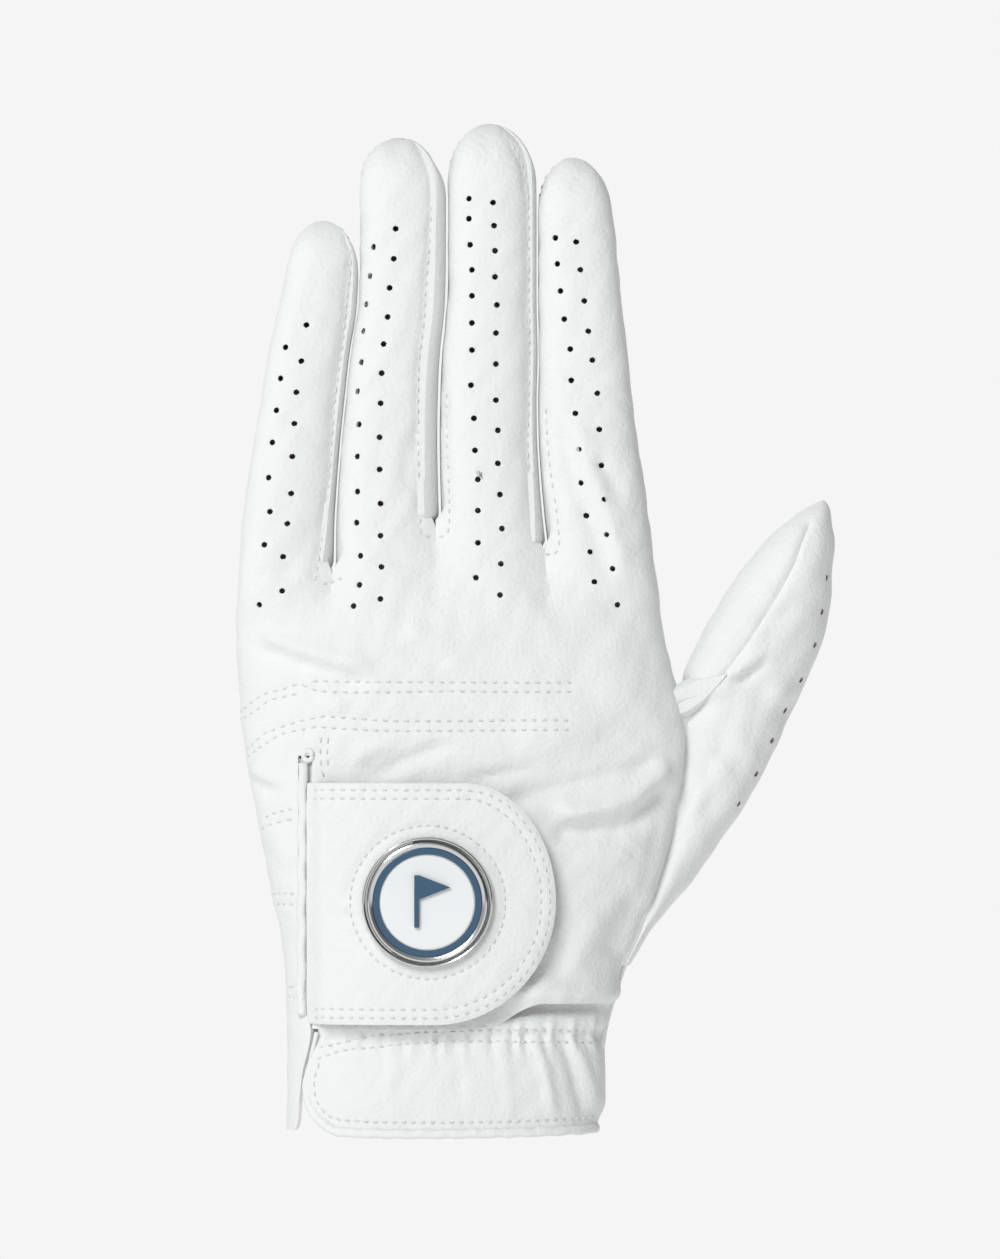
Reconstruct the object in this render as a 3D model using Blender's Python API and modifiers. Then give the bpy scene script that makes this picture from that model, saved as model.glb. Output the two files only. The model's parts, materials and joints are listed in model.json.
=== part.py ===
"""Left-hand golf glove in thin white leather, standing on its cuff with the fingers up.

Frame: metres, +Z along the fingers, +X towards the thumb, the back of the hand faces -Y and
the palm faces +Y.  The origin is the centre of the wrist opening, at the cuff's lower edge.
All sizes below are millimetres; MM turns them into metres where vertices are made.
"""
import math

import bmesh
import bpy
from mathutils import Vector

MM = 0.001

# Leather and the clearance between neighbouring pieces.
LEATHER = 0.9
GAP = 0.3
THIN_LEATHER = 0.7
ELASTIC = 0.6

# Hand form: height, left edge, right edge, depth to the back, depth to the palm.
HAND = (
    (0.0, -31.0, 31.0, 15.6, 16.8),
    (12.0, -31.0, 31.8, 15.6, 16.8),
    (23.0, -31.0, 33.6, 15.8, 17.2),
    (37.0, -31.8, 38.2, 15.9, 17.4),
    (50.0, -34.4, 43.2, 15.7, 16.8),
    (64.0, -37.0, 46.6, 15.2, 15.8),
    (77.0, -39.4, 48.6, 14.4, 14.8),
    (87.0, -40.4, 47.4, 13.6, 14.0),
    (99.0, -41.2, 44.6, 12.9, 13.2),
    (112.0, -40.6, 42.8, 11.8, 12.2),
    (124.0, -39.8, 41.4, 11.2, 11.6),
)
HAND_ROUND = 2.5
FINGER_ROUND = 2.4
THUMB_ROUND = 2.2

# Fingers: height, left edge, right edge, half depth; then shoulder and top of the rounded tip.
FINGERS = {
    "little": {
        "stations": (
            (99.0, -41.2, -23.6, 11.4), (112.0, -40.6, -22.6, 9.6), (124.0, -39.8, -22.5, 8.6),
            (137.0, -37.8, -21.6, 8.0), (147.0, -36.2, -20.8, 7.7), (156.0, -34.8, -19.6, 7.5),
            (166.0, -32.6, -18.2, 7.2), (175.0, -30.8, -17.4, 6.9), (183.0, -30.4, -17.2, 6.8),
        ),
        "shoulder": 173.5, "top": 182.8, "pip": 143.0,
    },
    "ring": {
        "stations": (
            (99.0, -22.6, 0.0, 12.2), (112.0, -21.4, -1.2, 11.0), (124.0, -21.1, -1.8, 9.6),
            (137.0, -20.2, -2.0, 9.0), (147.0, -19.2, -2.2, 8.6), (156.0, -18.2, -1.8, 8.3),
            (166.0, -16.7, -0.9, 8.0), (180.0, -16.4, -0.4, 7.7), (200.0, -16.6, -0.4, 7.5),
        ),
        "shoulder": 189.0, "top": 199.4, "pip": 153.0,
    },
    "middle": {
        "stations": (
            (99.0, 1.2, 21.2, 12.4), (112.0, 0.2, 20.0, 11.2), (124.0, -0.2, 18.8, 10.0),
            (137.0, -0.5, 17.7, 9.3), (147.0, -0.4, 17.6, 8.9), (156.0, 0.0, 17.8, 8.6),
            (166.0, 1.0, 17.6, 8.4), (180.0, 1.2, 17.6, 8.1), (202.0, 1.2, 17.6, 7.8),
        ),
        "shoulder": 190.5, "top": 202.2, "pip": 157.0,
    },
    "index": {
        "stations": (
            (99.0, 22.4, 44.6, 11.6), (112.0, 21.8, 42.8, 10.4), (124.0, 20.4, 41.3, 9.5),
            (137.0, 19.4, 39.4, 9.0), (147.0, 19.2, 38.0, 8.6), (156.0, 19.4, 37.2, 8.3),
            (166.0, 19.2, 36.0, 8.0), (178.0, 19.2, 34.8, 7.7), (196.0, 19.2, 33.0, 7.4),
        ),
        "shoulder": 184.5, "top": 195.4, "pip": 151.0,
    },
}
ORDER = ("little", "ring", "middle", "index")
# Finger roots, as x and height of the crotch between each pair of neighbours.
CROTCHES = ((-21.9, 112.0), (-1.2, 121.6), (20.6, 116.6))
SIDE_ANGLE = 32.0
GUSSET_ANGLE = 25.0

# Thumb: height, left edge, front seam, right edge, palm seam, then the depths (y) of the
# front seam, of the two edges and of the palm seam.
THUMB = (
    (34.0, 35.0, 36.6, 37.6, 24.0, -4.8, 4.0, 17.4),
    (41.0, 37.0, 39.9, 42.0, 25.0, -4.8, 4.0, 17.8),
    (50.0, 40.0, 43.3, 49.6, 27.0, -4.8, 4.2, 18.0),
    (61.0, 43.0, 46.4, 57.4, 29.5, -4.7, 4.5, 17.6),
    (72.0, 46.0, 48.5, 64.2, 32.0, -4.6, 4.6, 16.6),
    (83.0, 49.2, 49.4, 69.4, 34.0, -4.4, 4.4, 15.4),
    (87.5, 48.8, 52.6, 71.6, 50.0, -4.6, 4.2, 14.8),
    (92.0, 48.2, 56.2, 73.6, 58.4, -5.2, 4.0, 14.2),
    (98.6, 51.0, 61.2, 76.0, 63.4, -6.0, 3.6, 13.2),
    (105.2, 54.8, 65.4, 77.6, 66.4, -6.4, 3.0, 12.2),
    (113.4, 60.2, 70.0, 78.3, 70.0, -6.0, 2.4, 10.4),
    (119.6, 65.4, 72.3, 78.4, 72.6, -4.6, 2.0, 8.2),
    (124.2, 70.8, 74.4, 78.0, 74.8, -2.2, 1.6, 5.0),
    (126.4, 75.4, 76.5, 77.6, 76.6, 0.2, 1.4, 2.6),
)
THUMB_FOOT = 34.0
THUMB_TOP = 125.9
CROTCH_FLOOR = 86.5
QUIRK_TOP = 92.4
THUMB_BACK_ANGLES = (-83.0, 83.0)
THUMB_FRONT_ANGLES = (97.0, 263.0)
# Quirk, the small diamond of leather between thumb and hand: two rows of points (x, y, z).
QUIRK = (
    ((54.6, -4.9, 90.9), (52.2, -4.6, 88.8), (50.0, -4.0, 86.4)),
    ((54.2, -4.9, 91.5), (51.2, -3.9, 90.7), (48.9, -2.6, 89.0)),
)

# Hinges: the knuckle line, the middle joint of each finger, the thumb joint and the tab's fold.
KNUCKLE_Z = 99.0
KNUCKLE_BEND = 50.0
FINGER_BEND = 70.0
THUMB_JOINT = (66.0, 3.0, 105.0)
THUMB_LEAN = math.radians(24.9)
THUMB_TURN = math.radians(40.0)
THUMB_BEND = 45.0
HALF_CUT = 0.15
CUT_SPARE = 2.0

# Seams of the hand, as angles: the outer side, and where the palm's columns change.
OUTER_SEAM = 178.5
PALM_LEFT_ANGLES = (181.5, 268.0)
PALM_RIGHT_ANGLE = 358.5
BACK_ANGLES = (14.0, 118.0)

# Elastics stitched inside: the wrist's, from low to high, and the two below the knuckles.
WRIST_ELASTIC = (17.8, 22.2)
KNUCKLE_ELASTIC_UPPER = (88.0, 91.6)
KNUCKLE_ELASTIC_LOWER = (80.2, 83.8)
KNUCKLE_ELASTIC_ANGLES = (52.0, 130.0)

# Slit in the back, and the closure tab that bridges it.
SLIT_LEFT = -28.6
SLIT_RIGHT = -25.8
SLIT_TOP = 76.0
CUFF_TOP = 22.6
CUFF_ANGLES = (2.0, 142.0)
BINDING_HEIGHTS = (0.0, 2.0, 4.2)
SLIT_BINDING = (24.0, 73.4)
SLIT_BINDING_OUT = 1.8
BARTACK_X = (-25.4, -28.4)
BARTACK_Z = (74.4, 77.4)
TAB_LEFT = -25.4
TAB_RIGHT = 22.8
TAB_TOP = 70.6
TAB_BOTTOM = 22.6
TAB_WAIST = 47.0
TAB_TOP_STRAIGHT = 4.4
TAB_BOTTOM_STRAIGHT = -1.6
LINING_MARGIN = 5.5
LINING_INSET = 2.0
LOOP_X = (19.0, -14.0)
LOOP_Z = (29.0, 65.0)
HOOK_X = (17.0, -10.0)
HOOK_Z = (32.0, 62.0)

# Layers over the back panel, as distance out from its surface and thickness.
LOOP_LAYER = (1.3, 0.6)
HOOK_LAYER = (2.1, 0.5)
LINING_LAYER = (2.9, 0.4)
TAB_LAYER = (4.2, 0.8)

# Ball marker and its magnetic cup.
MARKER_CENTRE = (-2.8, 47.0)
CUP_RADIUS = 13.0
CUP_WALL = 0.6
CUP_FLOOR = 0.4
CUP_HEIGHT = 3.0
MAGNET_RADIUS = 7.0
MAGNET_HEIGHT = 0.8
MARKER_RADIUS = 12.0
MARKER_HEIGHT = 0.8
ENAMEL_RADIUS = 10.8
ENAMEL_WIDTH = 1.3
FACE_RADIUS = 9.0
INLAY_HEIGHT = 0.3
STACK_GAP = 0.2
# Pennant on a staff, as x and height from the marker's centre.
PENNANT = ((-2.6, -5.0), (-1.6, -5.0), (-1.6, 0.6), (4.6, 3.0), (-1.6, 5.4), (-2.6, 5.4))

WHITE = (0.87, 0.88, 0.88)
BLUE = (0.024, 0.080, 0.162)


# ---------------------------------------------------------------- form

def along(stations, height):
    """Read a smooth curve through stations of (height, value, ...) at one height."""
    last = len(stations) - 1
    low = 0
    while low < last - 1 and height > stations[low + 1][0]:
        low += 1
    first, second = stations[low], stations[low + 1]
    before = stations[max(low - 1, 0)]
    after = stations[min(low + 2, last)]
    span = second[0] - first[0]
    t = min(max((height - first[0]) / span, 0.0), 1.0)
    values = []
    for k in range(1, len(first)):
        rise_in = (second[k] - before[k]) / (second[0] - before[0]) * span
        rise_out = (after[k] - first[k]) / (after[0] - first[0]) * span
        values.append(
            (2 * t**3 - 3 * t**2 + 1) * first[k] + (t**3 - 2 * t**2 + t) * rise_in
            + (3 * t**2 - 2 * t**3) * second[k] + (t**3 - t**2) * rise_out
        )
    return values


def smooth_step(t):
    """Ease from 0 to 1."""
    t = min(max(t, 0.0), 1.0)
    return t * t * (3.0 - 2.0 * t)


def mix(a, b, t):
    """Go from a to b by the fraction t."""
    return a + (b - a) * t


def rounded(angle, roundness):
    """Give the cosine and sine of an angle, bulged into a superellipse."""
    c, s = math.cos(math.radians(angle)), math.sin(math.radians(angle))
    power = 2.0 / roundness
    return math.copysign(abs(c) ** power, c), math.copysign(abs(s) ** power, s)


def hand_point(angle, height, out=0.0):
    """Point on the hand form; angle 0 is the thumb side, 90 the back and 270 the palm."""
    left, right, back, palm = along(HAND, height)
    c, s = rounded(angle, HAND_ROUND)
    depth = back if s > 0 else palm
    return Vector((
        (left + right) / 2 + ((right - left) / 2 + out) * c, -(depth + out) * s, height))


def hand_at_x(x, height, side, out=0.0):
    """Point on the hand form above a given x, on the back (side 1) or the palm (side -1)."""
    left, right, back, palm = along(HAND, height)
    depth = (back if side > 0 else palm) + out
    t = min(abs((x - (left + right) / 2) / ((right - left) / 2)), 1.0)
    return Vector((x, -side * depth * (1 - t**HAND_ROUND) ** (1 / HAND_ROUND), height))


def angle_at_x(x, height):
    """Angle of the hand form's back at a given x."""
    left, right = along(HAND, height)[:2]
    t = (x - (left + right) / 2) / ((right - left) / 2)
    return math.degrees(math.acos(math.copysign(abs(t) ** (HAND_ROUND / 2), t)))


def finger_point(name, angle, height):
    """Point on a finger's skin, which closes in a dome above the shoulder."""
    finger = FINGERS[name]
    left, right, depth = along(finger["stations"], height)
    rise = max(height - finger["shoulder"], 0.0) / (finger["top"] - finger["shoulder"])
    shrink = math.sqrt(max(1.0 - rise * rise, 0.0))
    c, s = rounded(angle, FINGER_ROUND)
    return Vector((
        (left + right) / 2 + (right - left) / 2 * shrink * c, -depth * shrink * s, height))


def thumb_point(angle, height):
    """Point on the thumb's skin; angle 0 is its outer edge and 90 its front seam."""
    left, front, right, palm, front_y, edge_y, palm_y = along(THUMB, height)
    c, s = rounded(angle, THUMB_ROUND)
    middle = front if s > 0 else palm
    edge = right if c > 0 else left
    seam_y = front_y if s > 0 else palm_y
    return Vector((middle + (edge - middle) * abs(c), edge_y + (seam_y - edge_y) * abs(s), height))


# ---------------------------------------------------------------- hinges

class Hinge:
    """A fold across a tube: the leather is parted there, with a notch on the side it bends to."""

    def __init__(self, point, along_tube, towards, bend):
        self.point = Vector(point)
        self.along_tube = Vector(along_tube).normalized()
        self.towards = Vector(towards).normalized()
        self.slope = math.tan(math.radians(bend / 2 + CUT_SPARE))

    def edge_height(self, shape, side):
        """Height at which shape(height) meets the cut, below (side -1) or above it (side 1)."""
        height = self.point.z
        for _ in range(12):
            offset = shape(height) - self.point
            notch = HALF_CUT + max(offset.dot(self.towards), 0.0) * self.slope
            height += (side * notch - offset.dot(self.along_tube)) / self.along_tube.z
        return height


def finger_hinge(name):
    """Middle joint of a finger, square to the line of that finger."""
    finger = FINGERS[name]
    low = along(finger["stations"], finger["pip"] - 20.0)
    high = along(finger["stations"], finger["shoulder"])
    middle = along(finger["stations"], finger["pip"])
    run = finger["shoulder"] - finger["pip"] + 20.0
    lean = ((high[0] + high[1]) - (low[0] + low[1])) / 2 / run
    return Hinge(
        ((middle[0] + middle[1]) / 2, 0.0, finger["pip"]), (lean, 0.0, 1.0), (0.0, 1.0, 0.0),
        FINGER_BEND)


KNUCKLES = Hinge((0.0, 0.0, KNUCKLE_Z), (0.0, 0.0, 1.0), (0.0, 1.0, 0.0), KNUCKLE_BEND)
THUMB_AXIS = Vector((math.sin(THUMB_LEAN), 0.0, math.cos(THUMB_LEAN)))
THUMB_ACROSS = Vector((-math.cos(THUMB_LEAN), 0.0, math.sin(THUMB_LEAN)))
THUMB_TOWARDS = THUMB_ACROSS * math.cos(THUMB_TURN) + Vector((0, 1, 0)) * math.sin(THUMB_TURN)
THUMB_HINGE = Hinge(THUMB_JOINT, THUMB_AXIS, THUMB_TOWARDS, THUMB_BEND)
FINGER_HINGES = {name: finger_hinge(name) for name in ORDER}


# ---------------------------------------------------------------- building

def clear_scene():
    """Remove every object, so that the script starts from an empty scene."""
    for obj in list(bpy.data.objects):
        bpy.data.objects.remove(obj, do_unlink=True)


def new_collection(name):
    """Make a collection in the scene."""
    collection = bpy.data.collections.new(name)
    bpy.context.scene.collection.children.link(collection)
    return collection


def make_material(name, colour, roughness, metallic=0.0):
    """Make a Principled material."""
    material = bpy.data.materials.new(name)
    material.use_nodes = True
    shader = material.node_tree.nodes["Principled BSDF"]
    shader.inputs["Base Color"].default_value = (*colour, 1.0)
    shader.inputs["Roughness"].default_value = roughness
    shader.inputs["Metallic"].default_value = metallic
    material.diffuse_color = (*colour, 1.0)
    return material


class Bench:
    """Collects the finished objects, their materials and the parents of moving pieces."""

    def __init__(self):
        clear_scene()
        self.parts = new_collection("golf_glove")
        self.cutters = new_collection("cutters")
        self.materials = {
            "leather": make_material("white_leather", WHITE, 0.55),
            "gusset": make_material("gusset_leather", (0.82, 0.83, 0.84), 0.6),
            "lining": make_material("tab_lining", (0.75, 0.76, 0.77), 0.8),
            "elastic": make_material("white_elastic", (0.80, 0.80, 0.80), 0.8),
            "hook": make_material("hook_tape", (0.72, 0.73, 0.74), 0.7),
            "loop": make_material("loop_tape", (0.78, 0.79, 0.80), 0.9),
            "metal": make_material("polished_nickel", (0.72, 0.73, 0.74), 0.15, 1.0),
            "magnet": make_material("magnet", (0.35, 0.35, 0.36), 0.4, 1.0),
            "enamel": make_material("blue_enamel", BLUE, 0.2),
            "face": make_material("white_enamel", (0.80, 0.82, 0.83), 0.2),
        }

    def add(self, name, mesh, material, parent=None):
        """Make an object of a mesh and put it in the glove's collection."""
        obj = bpy.data.objects.new(name, mesh)
        mesh.materials.append(self.materials[material])
        self.parts.objects.link(obj)
        mesh.shade_smooth()
        mesh.set_sharp_from_angle(angle=math.radians(35.0))
        if parent is not None:
            obj.parent = parent
            obj.matrix_parent_inverse = parent.matrix_world.inverted()
        return obj

    def joint(self, name, point):
        """Make an empty on a joint, to carry the pieces that move about it."""
        empty = bpy.data.objects.new(name, None)
        empty.location = Vector(point) * MM
        self.parts.objects.link(empty)
        bpy.context.view_layer.update()
        return empty

    def skin(self, name, grid, material, thickness, parent=None, faces=None):
        """Make a sheet of a grid of points and thicken it away from its outer side.

        Each grid is a list of rows.  Grids that share points are joined along them.
        """
        mesh = bpy.data.meshes.new(name)
        work = bmesh.new()
        found = {}

        def vertex(point):
            key = tuple(round(value, 4) for value in point)
            if key not in found:
                found[key] = work.verts.new(point * MM)
            return found[key]

        for patch, rows in enumerate(grid):
            for j in range(len(rows) - 1):
                for k in range(len(rows[j]) - 1):
                    if faces is not None and not faces(patch, j, k):
                        continue
                    corners = (rows[j][k], rows[j + 1][k], rows[j + 1][k + 1], rows[j][k + 1])
                    work.faces.new([vertex(point) for point in corners])
        work.normal_update()
        work.to_mesh(mesh)
        work.free()
        obj = self.add(name, mesh, material, parent)
        solidify = obj.modifiers.new("thickness", "SOLIDIFY")
        solidify.thickness = thickness * MM
        solidify.offset = -1.0
        return obj


def rows_between(low, high, count, angles, shape):
    """Grid of points of shape(angle, height), each column running from low to high."""
    rows = []
    for j in range(count + 1):
        row = []
        for angle in angles:
            height = mix(low(angle), high(angle), j / count)
            row.append(shape(angle, height))
        rows.append(row)
    return rows


def spread(first, last, count):
    """Evenly spaced values from first to last."""
    return [mix(first, last, k / count) for k in range(count + 1)]


# ---------------------------------------------------------------- hand

def build_back_panel(bench):
    """Back of the hand: one piece of leather with a slit from the cuff up to the bar-tack."""
    right_angles = spread(*BACK_ANGLES, 9)
    heights = [1.0, CUFF_TOP + GAP] + spread(31.0, SLIT_TOP, 5) + [84.0, 91.5]
    heights.append(KNUCKLE_Z - HALF_CUT)
    rows = []
    for height in heights:
        row = [hand_point(angle, height) for angle in right_angles]
        row.append(hand_at_x(SLIT_RIGHT, height, 1))
        row.append(hand_at_x(SLIT_LEFT, height, 1))
        rest = mix(angle_at_x(SLIT_LEFT, height), OUTER_SEAM, 0.5)
        row.append(hand_point(rest, height))
        row.append(hand_point(OUTER_SEAM, height))
        rows.append(row)
    slit_column = len(right_angles)

    def kept(_, j, k):
        if k < slit_column:
            return j >= 1
        return k > slit_column or heights[j] >= SLIT_TOP

    bench.skin("back_panel", [rows], "leather", LEATHER, faces=kept)


def build_palm_panel(bench):
    """Palm of the hand, with a gap on the thumb side that the thumb pieces fill."""
    left_angles = spread(*PALM_LEFT_ANGLES, 7)
    columns = 12
    hole_low, hole_high = THUMB_FOOT - 1.0, CROTCH_FLOOR
    heights = [0.6, 12.0, 23.0, hole_low, 41.0, 50.0, 61.0, 72.0, 83.0, hole_high, 90.0]
    first_open = heights.index(hole_low)
    last_open = heights.index(hole_high)
    rows = []
    for height in heights + [None]:
        row = []
        for k in range(columns + 1):
            if k < len(left_angles):
                angle = left_angles[k]
            else:
                step = (k - len(left_angles) + 1) / (columns - len(left_angles) + 1)
                angle = mix(left_angles[-1], PALM_RIGHT_ANGLE, step)
            if height is None:
                level = KNUCKLES.edge_height(lambda z, a=angle: hand_point(a, z), -1)
            else:
                level = height
            row.append(hand_point(angle, level))
        rows.append(row)
    hole_column = 9

    def kept(_, j, k):
        inside = k >= hole_column and first_open <= j < last_open
        return not inside

    bench.skin("palm_panel", [rows], "leather", LEATHER, faces=kept)


def build_cuff(bench):
    """Gathered cuff below the tab, its bound edge and the elastic inside it."""
    angles = spread(*CUFF_ANGLES, 12)
    band = [[hand_point(angle, height) for angle in angles] for height in spread(0.6, CUFF_TOP, 3)]
    bench.skin("cuff_band", [band], "leather", LEATHER)
    binding = [
        [hand_point(angle, height, GAP + THIN_LEATHER) for angle in angles]
        for height in BINDING_HEIGHTS]
    bench.skin("cuff_binding", [binding], "leather", THIN_LEATHER)
    inner = [
        [hand_point(angle, height, -LEATHER - GAP) for angle in spread(12.0, 138.0, 10)]
        for height in WRIST_ELASTIC]
    bench.skin("wrist_elastic", [inner], "elastic", ELASTIC)
    palm_inner = [
        [hand_point(angle, height, -LEATHER - GAP) for angle in spread(200.0, 340.0, 10)]
        for height in WRIST_ELASTIC]
    bench.skin("palm_elastic", [palm_inner], "elastic", ELASTIC)


def build_knuckle_elastics(bench):
    """Two narrow elastics stitched inside the back, below the knuckles."""
    for name, heights in (
            ("knuckle_elastic_upper", KNUCKLE_ELASTIC_UPPER),
            ("knuckle_elastic_lower", KNUCKLE_ELASTIC_LOWER)):
        rows = [
            [hand_point(angle, height, -LEATHER - GAP)
             for angle in spread(*KNUCKLE_ELASTIC_ANGLES, 7)]
            for height in heights]
        bench.skin(name, [rows], "elastic", ELASTIC)


def build_slit_edge(bench):
    """Folded edge along the slit's left side, and the bar-tack at its top."""
    rows = []
    for height in spread(*SLIT_BINDING, 5):
        rows.append([
            hand_at_x(x, height, 1, SLIT_BINDING_OUT)
            for x in (SLIT_LEFT + 1.6, SLIT_LEFT - 0.2)])
    bench.skin("slit_binding", [rows], "leather", THIN_LEATHER)
    tack = [[hand_at_x(x, height, 1, GAP + 1.0) for x in BARTACK_X] for height in BARTACK_Z]
    bench.skin("slit_bartack", [tack], "leather", THIN_LEATHER - 0.1)


def build_thumb(bench, joint):
    """Thumb in two halves, a back and a front, parted again at its joint, and its quirk."""
    heights = (34.4, 41.0, 50.0, 61.0, 72.0, 83.0, 87.5, 92.0)

    def cut(angle, side):
        return THUMB_HINGE.edge_height(lambda z: thumb_point(angle, z), side)

    right = spread(*THUMB_BACK_ANGLES, 8)
    left = spread(*THUMB_FRONT_ANGLES, 8)
    lower = [[thumb_point(angle, height) for angle in right] for height in heights[:-1]]
    upper = rows_between(
        lambda angle: heights[-1], lambda angle: cut(angle, -1), 2, right, thumb_point)
    bench.skin("thumb_back", [lower + upper], "leather", LEATHER)
    front = rows_between(
        lambda angle: mix(QUIRK_TOP, CROTCH_FLOOR + 0.6, smooth_step((angle - 150.0) / 50.0)),
        lambda angle: cut(angle, -1), 3, left, thumb_point)
    bench.skin("thumb_front", [front], "leather", LEATHER)

    def tip(angles):
        return rows_between(
            lambda angle: cut(angle, 1), lambda angle: THUMB_TOP, 6, angles, thumb_point)

    bench.skin("thumb_back_tip", [tip(right)], "leather", LEATHER, joint)
    bench.skin("thumb_front_tip", [tip(left)], "leather", LEATHER, joint)
    quirk = [[Vector(point) for point in row] for row in QUIRK]
    bench.skin("thumb_quirk", [quirk], "gusset", THIN_LEATHER)


# ---------------------------------------------------------------- fingers

def lane_edges(index, height):
    """Left and right x of a finger's lane on the hand form, below the crotches."""
    left, right = along(HAND, height)[:2]
    inner = [x + (x * 0.04) * (crotch - height) / 20.0 for x, crotch in CROTCHES]
    edges = [left] + inner + [right]
    return edges[index], edges[index + 1]


def lane_angles(index, side):
    """Angles of a finger's back (side 1) or palm (side -1) panel, from left to right."""
    first = OUTER_SEAM if index == 0 else 180.0 - SIDE_ANGLE
    last = 180.0 - OUTER_SEAM if index == len(ORDER) - 1 else SIDE_ANGLE
    count = 6
    if side > 0:
        return spread(first, last, count)
    return [360.0 - angle for angle in spread(first, last, count)]


def lane_top(index, fraction):
    """Height of the crotch line across a lane."""
    left = CROTCHES[max(index - 1, 0)][1]
    right = CROTCHES[min(index, len(CROTCHES) - 1)][1]
    return mix(left, right, fraction)


def lane_point(index, column, count, height, side):
    """Point between the hand form and the finger, so that the fingers grow out of the hand."""
    fraction = column / count
    left, right = lane_edges(index, height)
    x = mix(left, right, fraction)
    if index == 0 and column == 0:
        x = left + 0.1
    if index == len(ORDER) - 1 and column == count:
        x = right - 0.1
    on_hand = hand_at_x(x, height, side)
    on_finger = finger_point(ORDER[index], lane_angles(index, side)[column], height)
    if column == 0 and index > 0:
        other = finger_point(ORDER[index - 1], lane_angles(index - 1, side)[-1], height)
        on_finger = (on_finger + other) / 2
    if column == count and index < len(ORDER) - 1:
        other = finger_point(ORDER[index + 1], lane_angles(index + 1, side)[0], height)
        on_finger = (on_finger + other) / 2
    share = smooth_step((height - KNUCKLE_Z) / (lane_top(index, fraction) - KNUCKLE_Z))
    return on_hand.lerp(on_finger, share)


def build_finger_panels(bench, joint):
    """Back and palm leather from the knuckle line up to the middle joints, as two combs."""
    for name, side in (("finger_back_panel", 1), ("finger_palm_panel", -1)):
        patches = []
        for index, finger in enumerate(ORDER):
            angles = lane_angles(index, side)
            count = len(angles) - 1
            hinge = FINGER_HINGES[finger]
            lower, upper = [], []
            for j in range(5):
                row = []
                for column in range(count + 1):
                    start = KNUCKLES.edge_height(
                        lambda z, c=column: lane_point(index, c, count, z, side), 1)
                    height = mix(start, lane_top(index, column / count), j / 4)
                    row.append(lane_point(index, column, count, height, side))
                lower.append(row)
            for j in range(1, 5):
                row = []
                for column, angle in enumerate(angles):
                    end = hinge.edge_height(lambda z, a=angle: finger_point(finger, a, z), -1)
                    height = mix(lane_top(index, column / count), end, j / 4)
                    row.append(finger_point(finger, angle, height))
                upper.append(row)
            rows = lower + upper
            if side > 0:
                rows = [row[::-1] for row in rows]
            patches.append(rows)
        bench.skin(name, patches, "leather", LEATHER, joint)


def build_gussets(bench, parent, tips):
    """Side strips between neighbouring fingers, parted at each finger's middle joint."""
    for pair, (_, crotch) in enumerate(CROTCHES):
        sides = ((ORDER[pair], 0.0), (ORDER[pair + 1], 180.0))
        for finger, facing in sides:
            where = "right" if facing == 0.0 else "left"
            hinge = FINGER_HINGES[finger]
            angles = spread(facing - GUSSET_ANGLE, facing + GUSSET_ANGLE, 2)

            def shape(angle, height, finger=finger):
                return finger_point(finger, angle, height)

            low = rows_between(
                lambda angle: crotch + 1.6,
                lambda angle: hinge.edge_height(lambda z: shape(angle, z), -1),
                3, angles, shape)
            high = rows_between(
                lambda angle: hinge.edge_height(lambda z: shape(angle, z), 1),
                lambda angle: FINGERS[finger]["shoulder"] - 1.2,
                3, angles, shape)
            bench.skin(f"{finger}_gusset_{where}", [low], "gusset", THIN_LEATHER, parent)
            bench.skin(
                f"{finger}_tip_gusset_{where}", [high], "gusset", THIN_LEATHER, tips[finger])


def build_fingertips(bench, tips):
    """Back and palm leather of each finger above its middle joint, closed over the tip."""
    dome = spread(0.08, 0.94, 5)
    for index, finger in enumerate(ORDER):
        data = FINGERS[finger]
        hinge = FINGER_HINGES[finger]
        for word, side in (("back", 1), ("palm", -1)):
            angles = lane_angles(index, side)
            count = len(angles) - 1
            wide = spread(175.0, 5.0, count)
            if side < 0:
                wide = [360.0 - angle for angle in wide]
            rows = []
            for j in range(4):
                row = []
                for angle in angles:
                    start = hinge.edge_height(lambda z, a=angle: finger_point(finger, a, z), 1)
                    height = mix(start, data["shoulder"] - 0.6, j / 3)
                    row.append(finger_point(finger, angle, height))
                rows.append(row)
            for share in dome:
                level = math.sin(share * math.pi / 2)
                height = mix(data["shoulder"], data["top"], level)
                rows.append([finger_point(finger, angle, height) for angle in wide])
            if side > 0:
                rows = [row[::-1] for row in rows]
            bench.skin(f"{finger}_tip_{word}", [rows], "leather", LEATHER, tips[finger])


# ---------------------------------------------------------------- closure

def tab_right_edge(height):
    """Right edge of the D-shaped tab, a quarter ellipse above and one below its waist."""
    if height > TAB_WAIST:
        straight, reach = TAB_TOP_STRAIGHT, TAB_TOP - TAB_WAIST
    else:
        straight, reach = TAB_BOTTOM_STRAIGHT, TAB_WAIST - TAB_BOTTOM
    share = min(abs(height - TAB_WAIST) / reach, 1.0)
    return mix(straight, TAB_RIGHT, math.sqrt(1.0 - share * share))


def tab_rows(inset, layer, left):
    """Grid of points of one layer of the tab, set in from its edge."""
    turns = spread(-86.0, 86.0, 10)
    rows = []
    for turn in turns:
        reach = TAB_TOP - TAB_WAIST if turn > 0 else TAB_WAIST - TAB_BOTTOM
        height = TAB_WAIST + (reach - inset) * math.sin(math.radians(turn))
        full = TAB_WAIST + reach * math.sin(math.radians(turn))
        right = tab_right_edge(full) - inset
        row = [
            hand_at_x(mix(right, left, k / 8), height, 1, layer)
            for k in range(9)]
        rows.append(row)
    return rows


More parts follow.
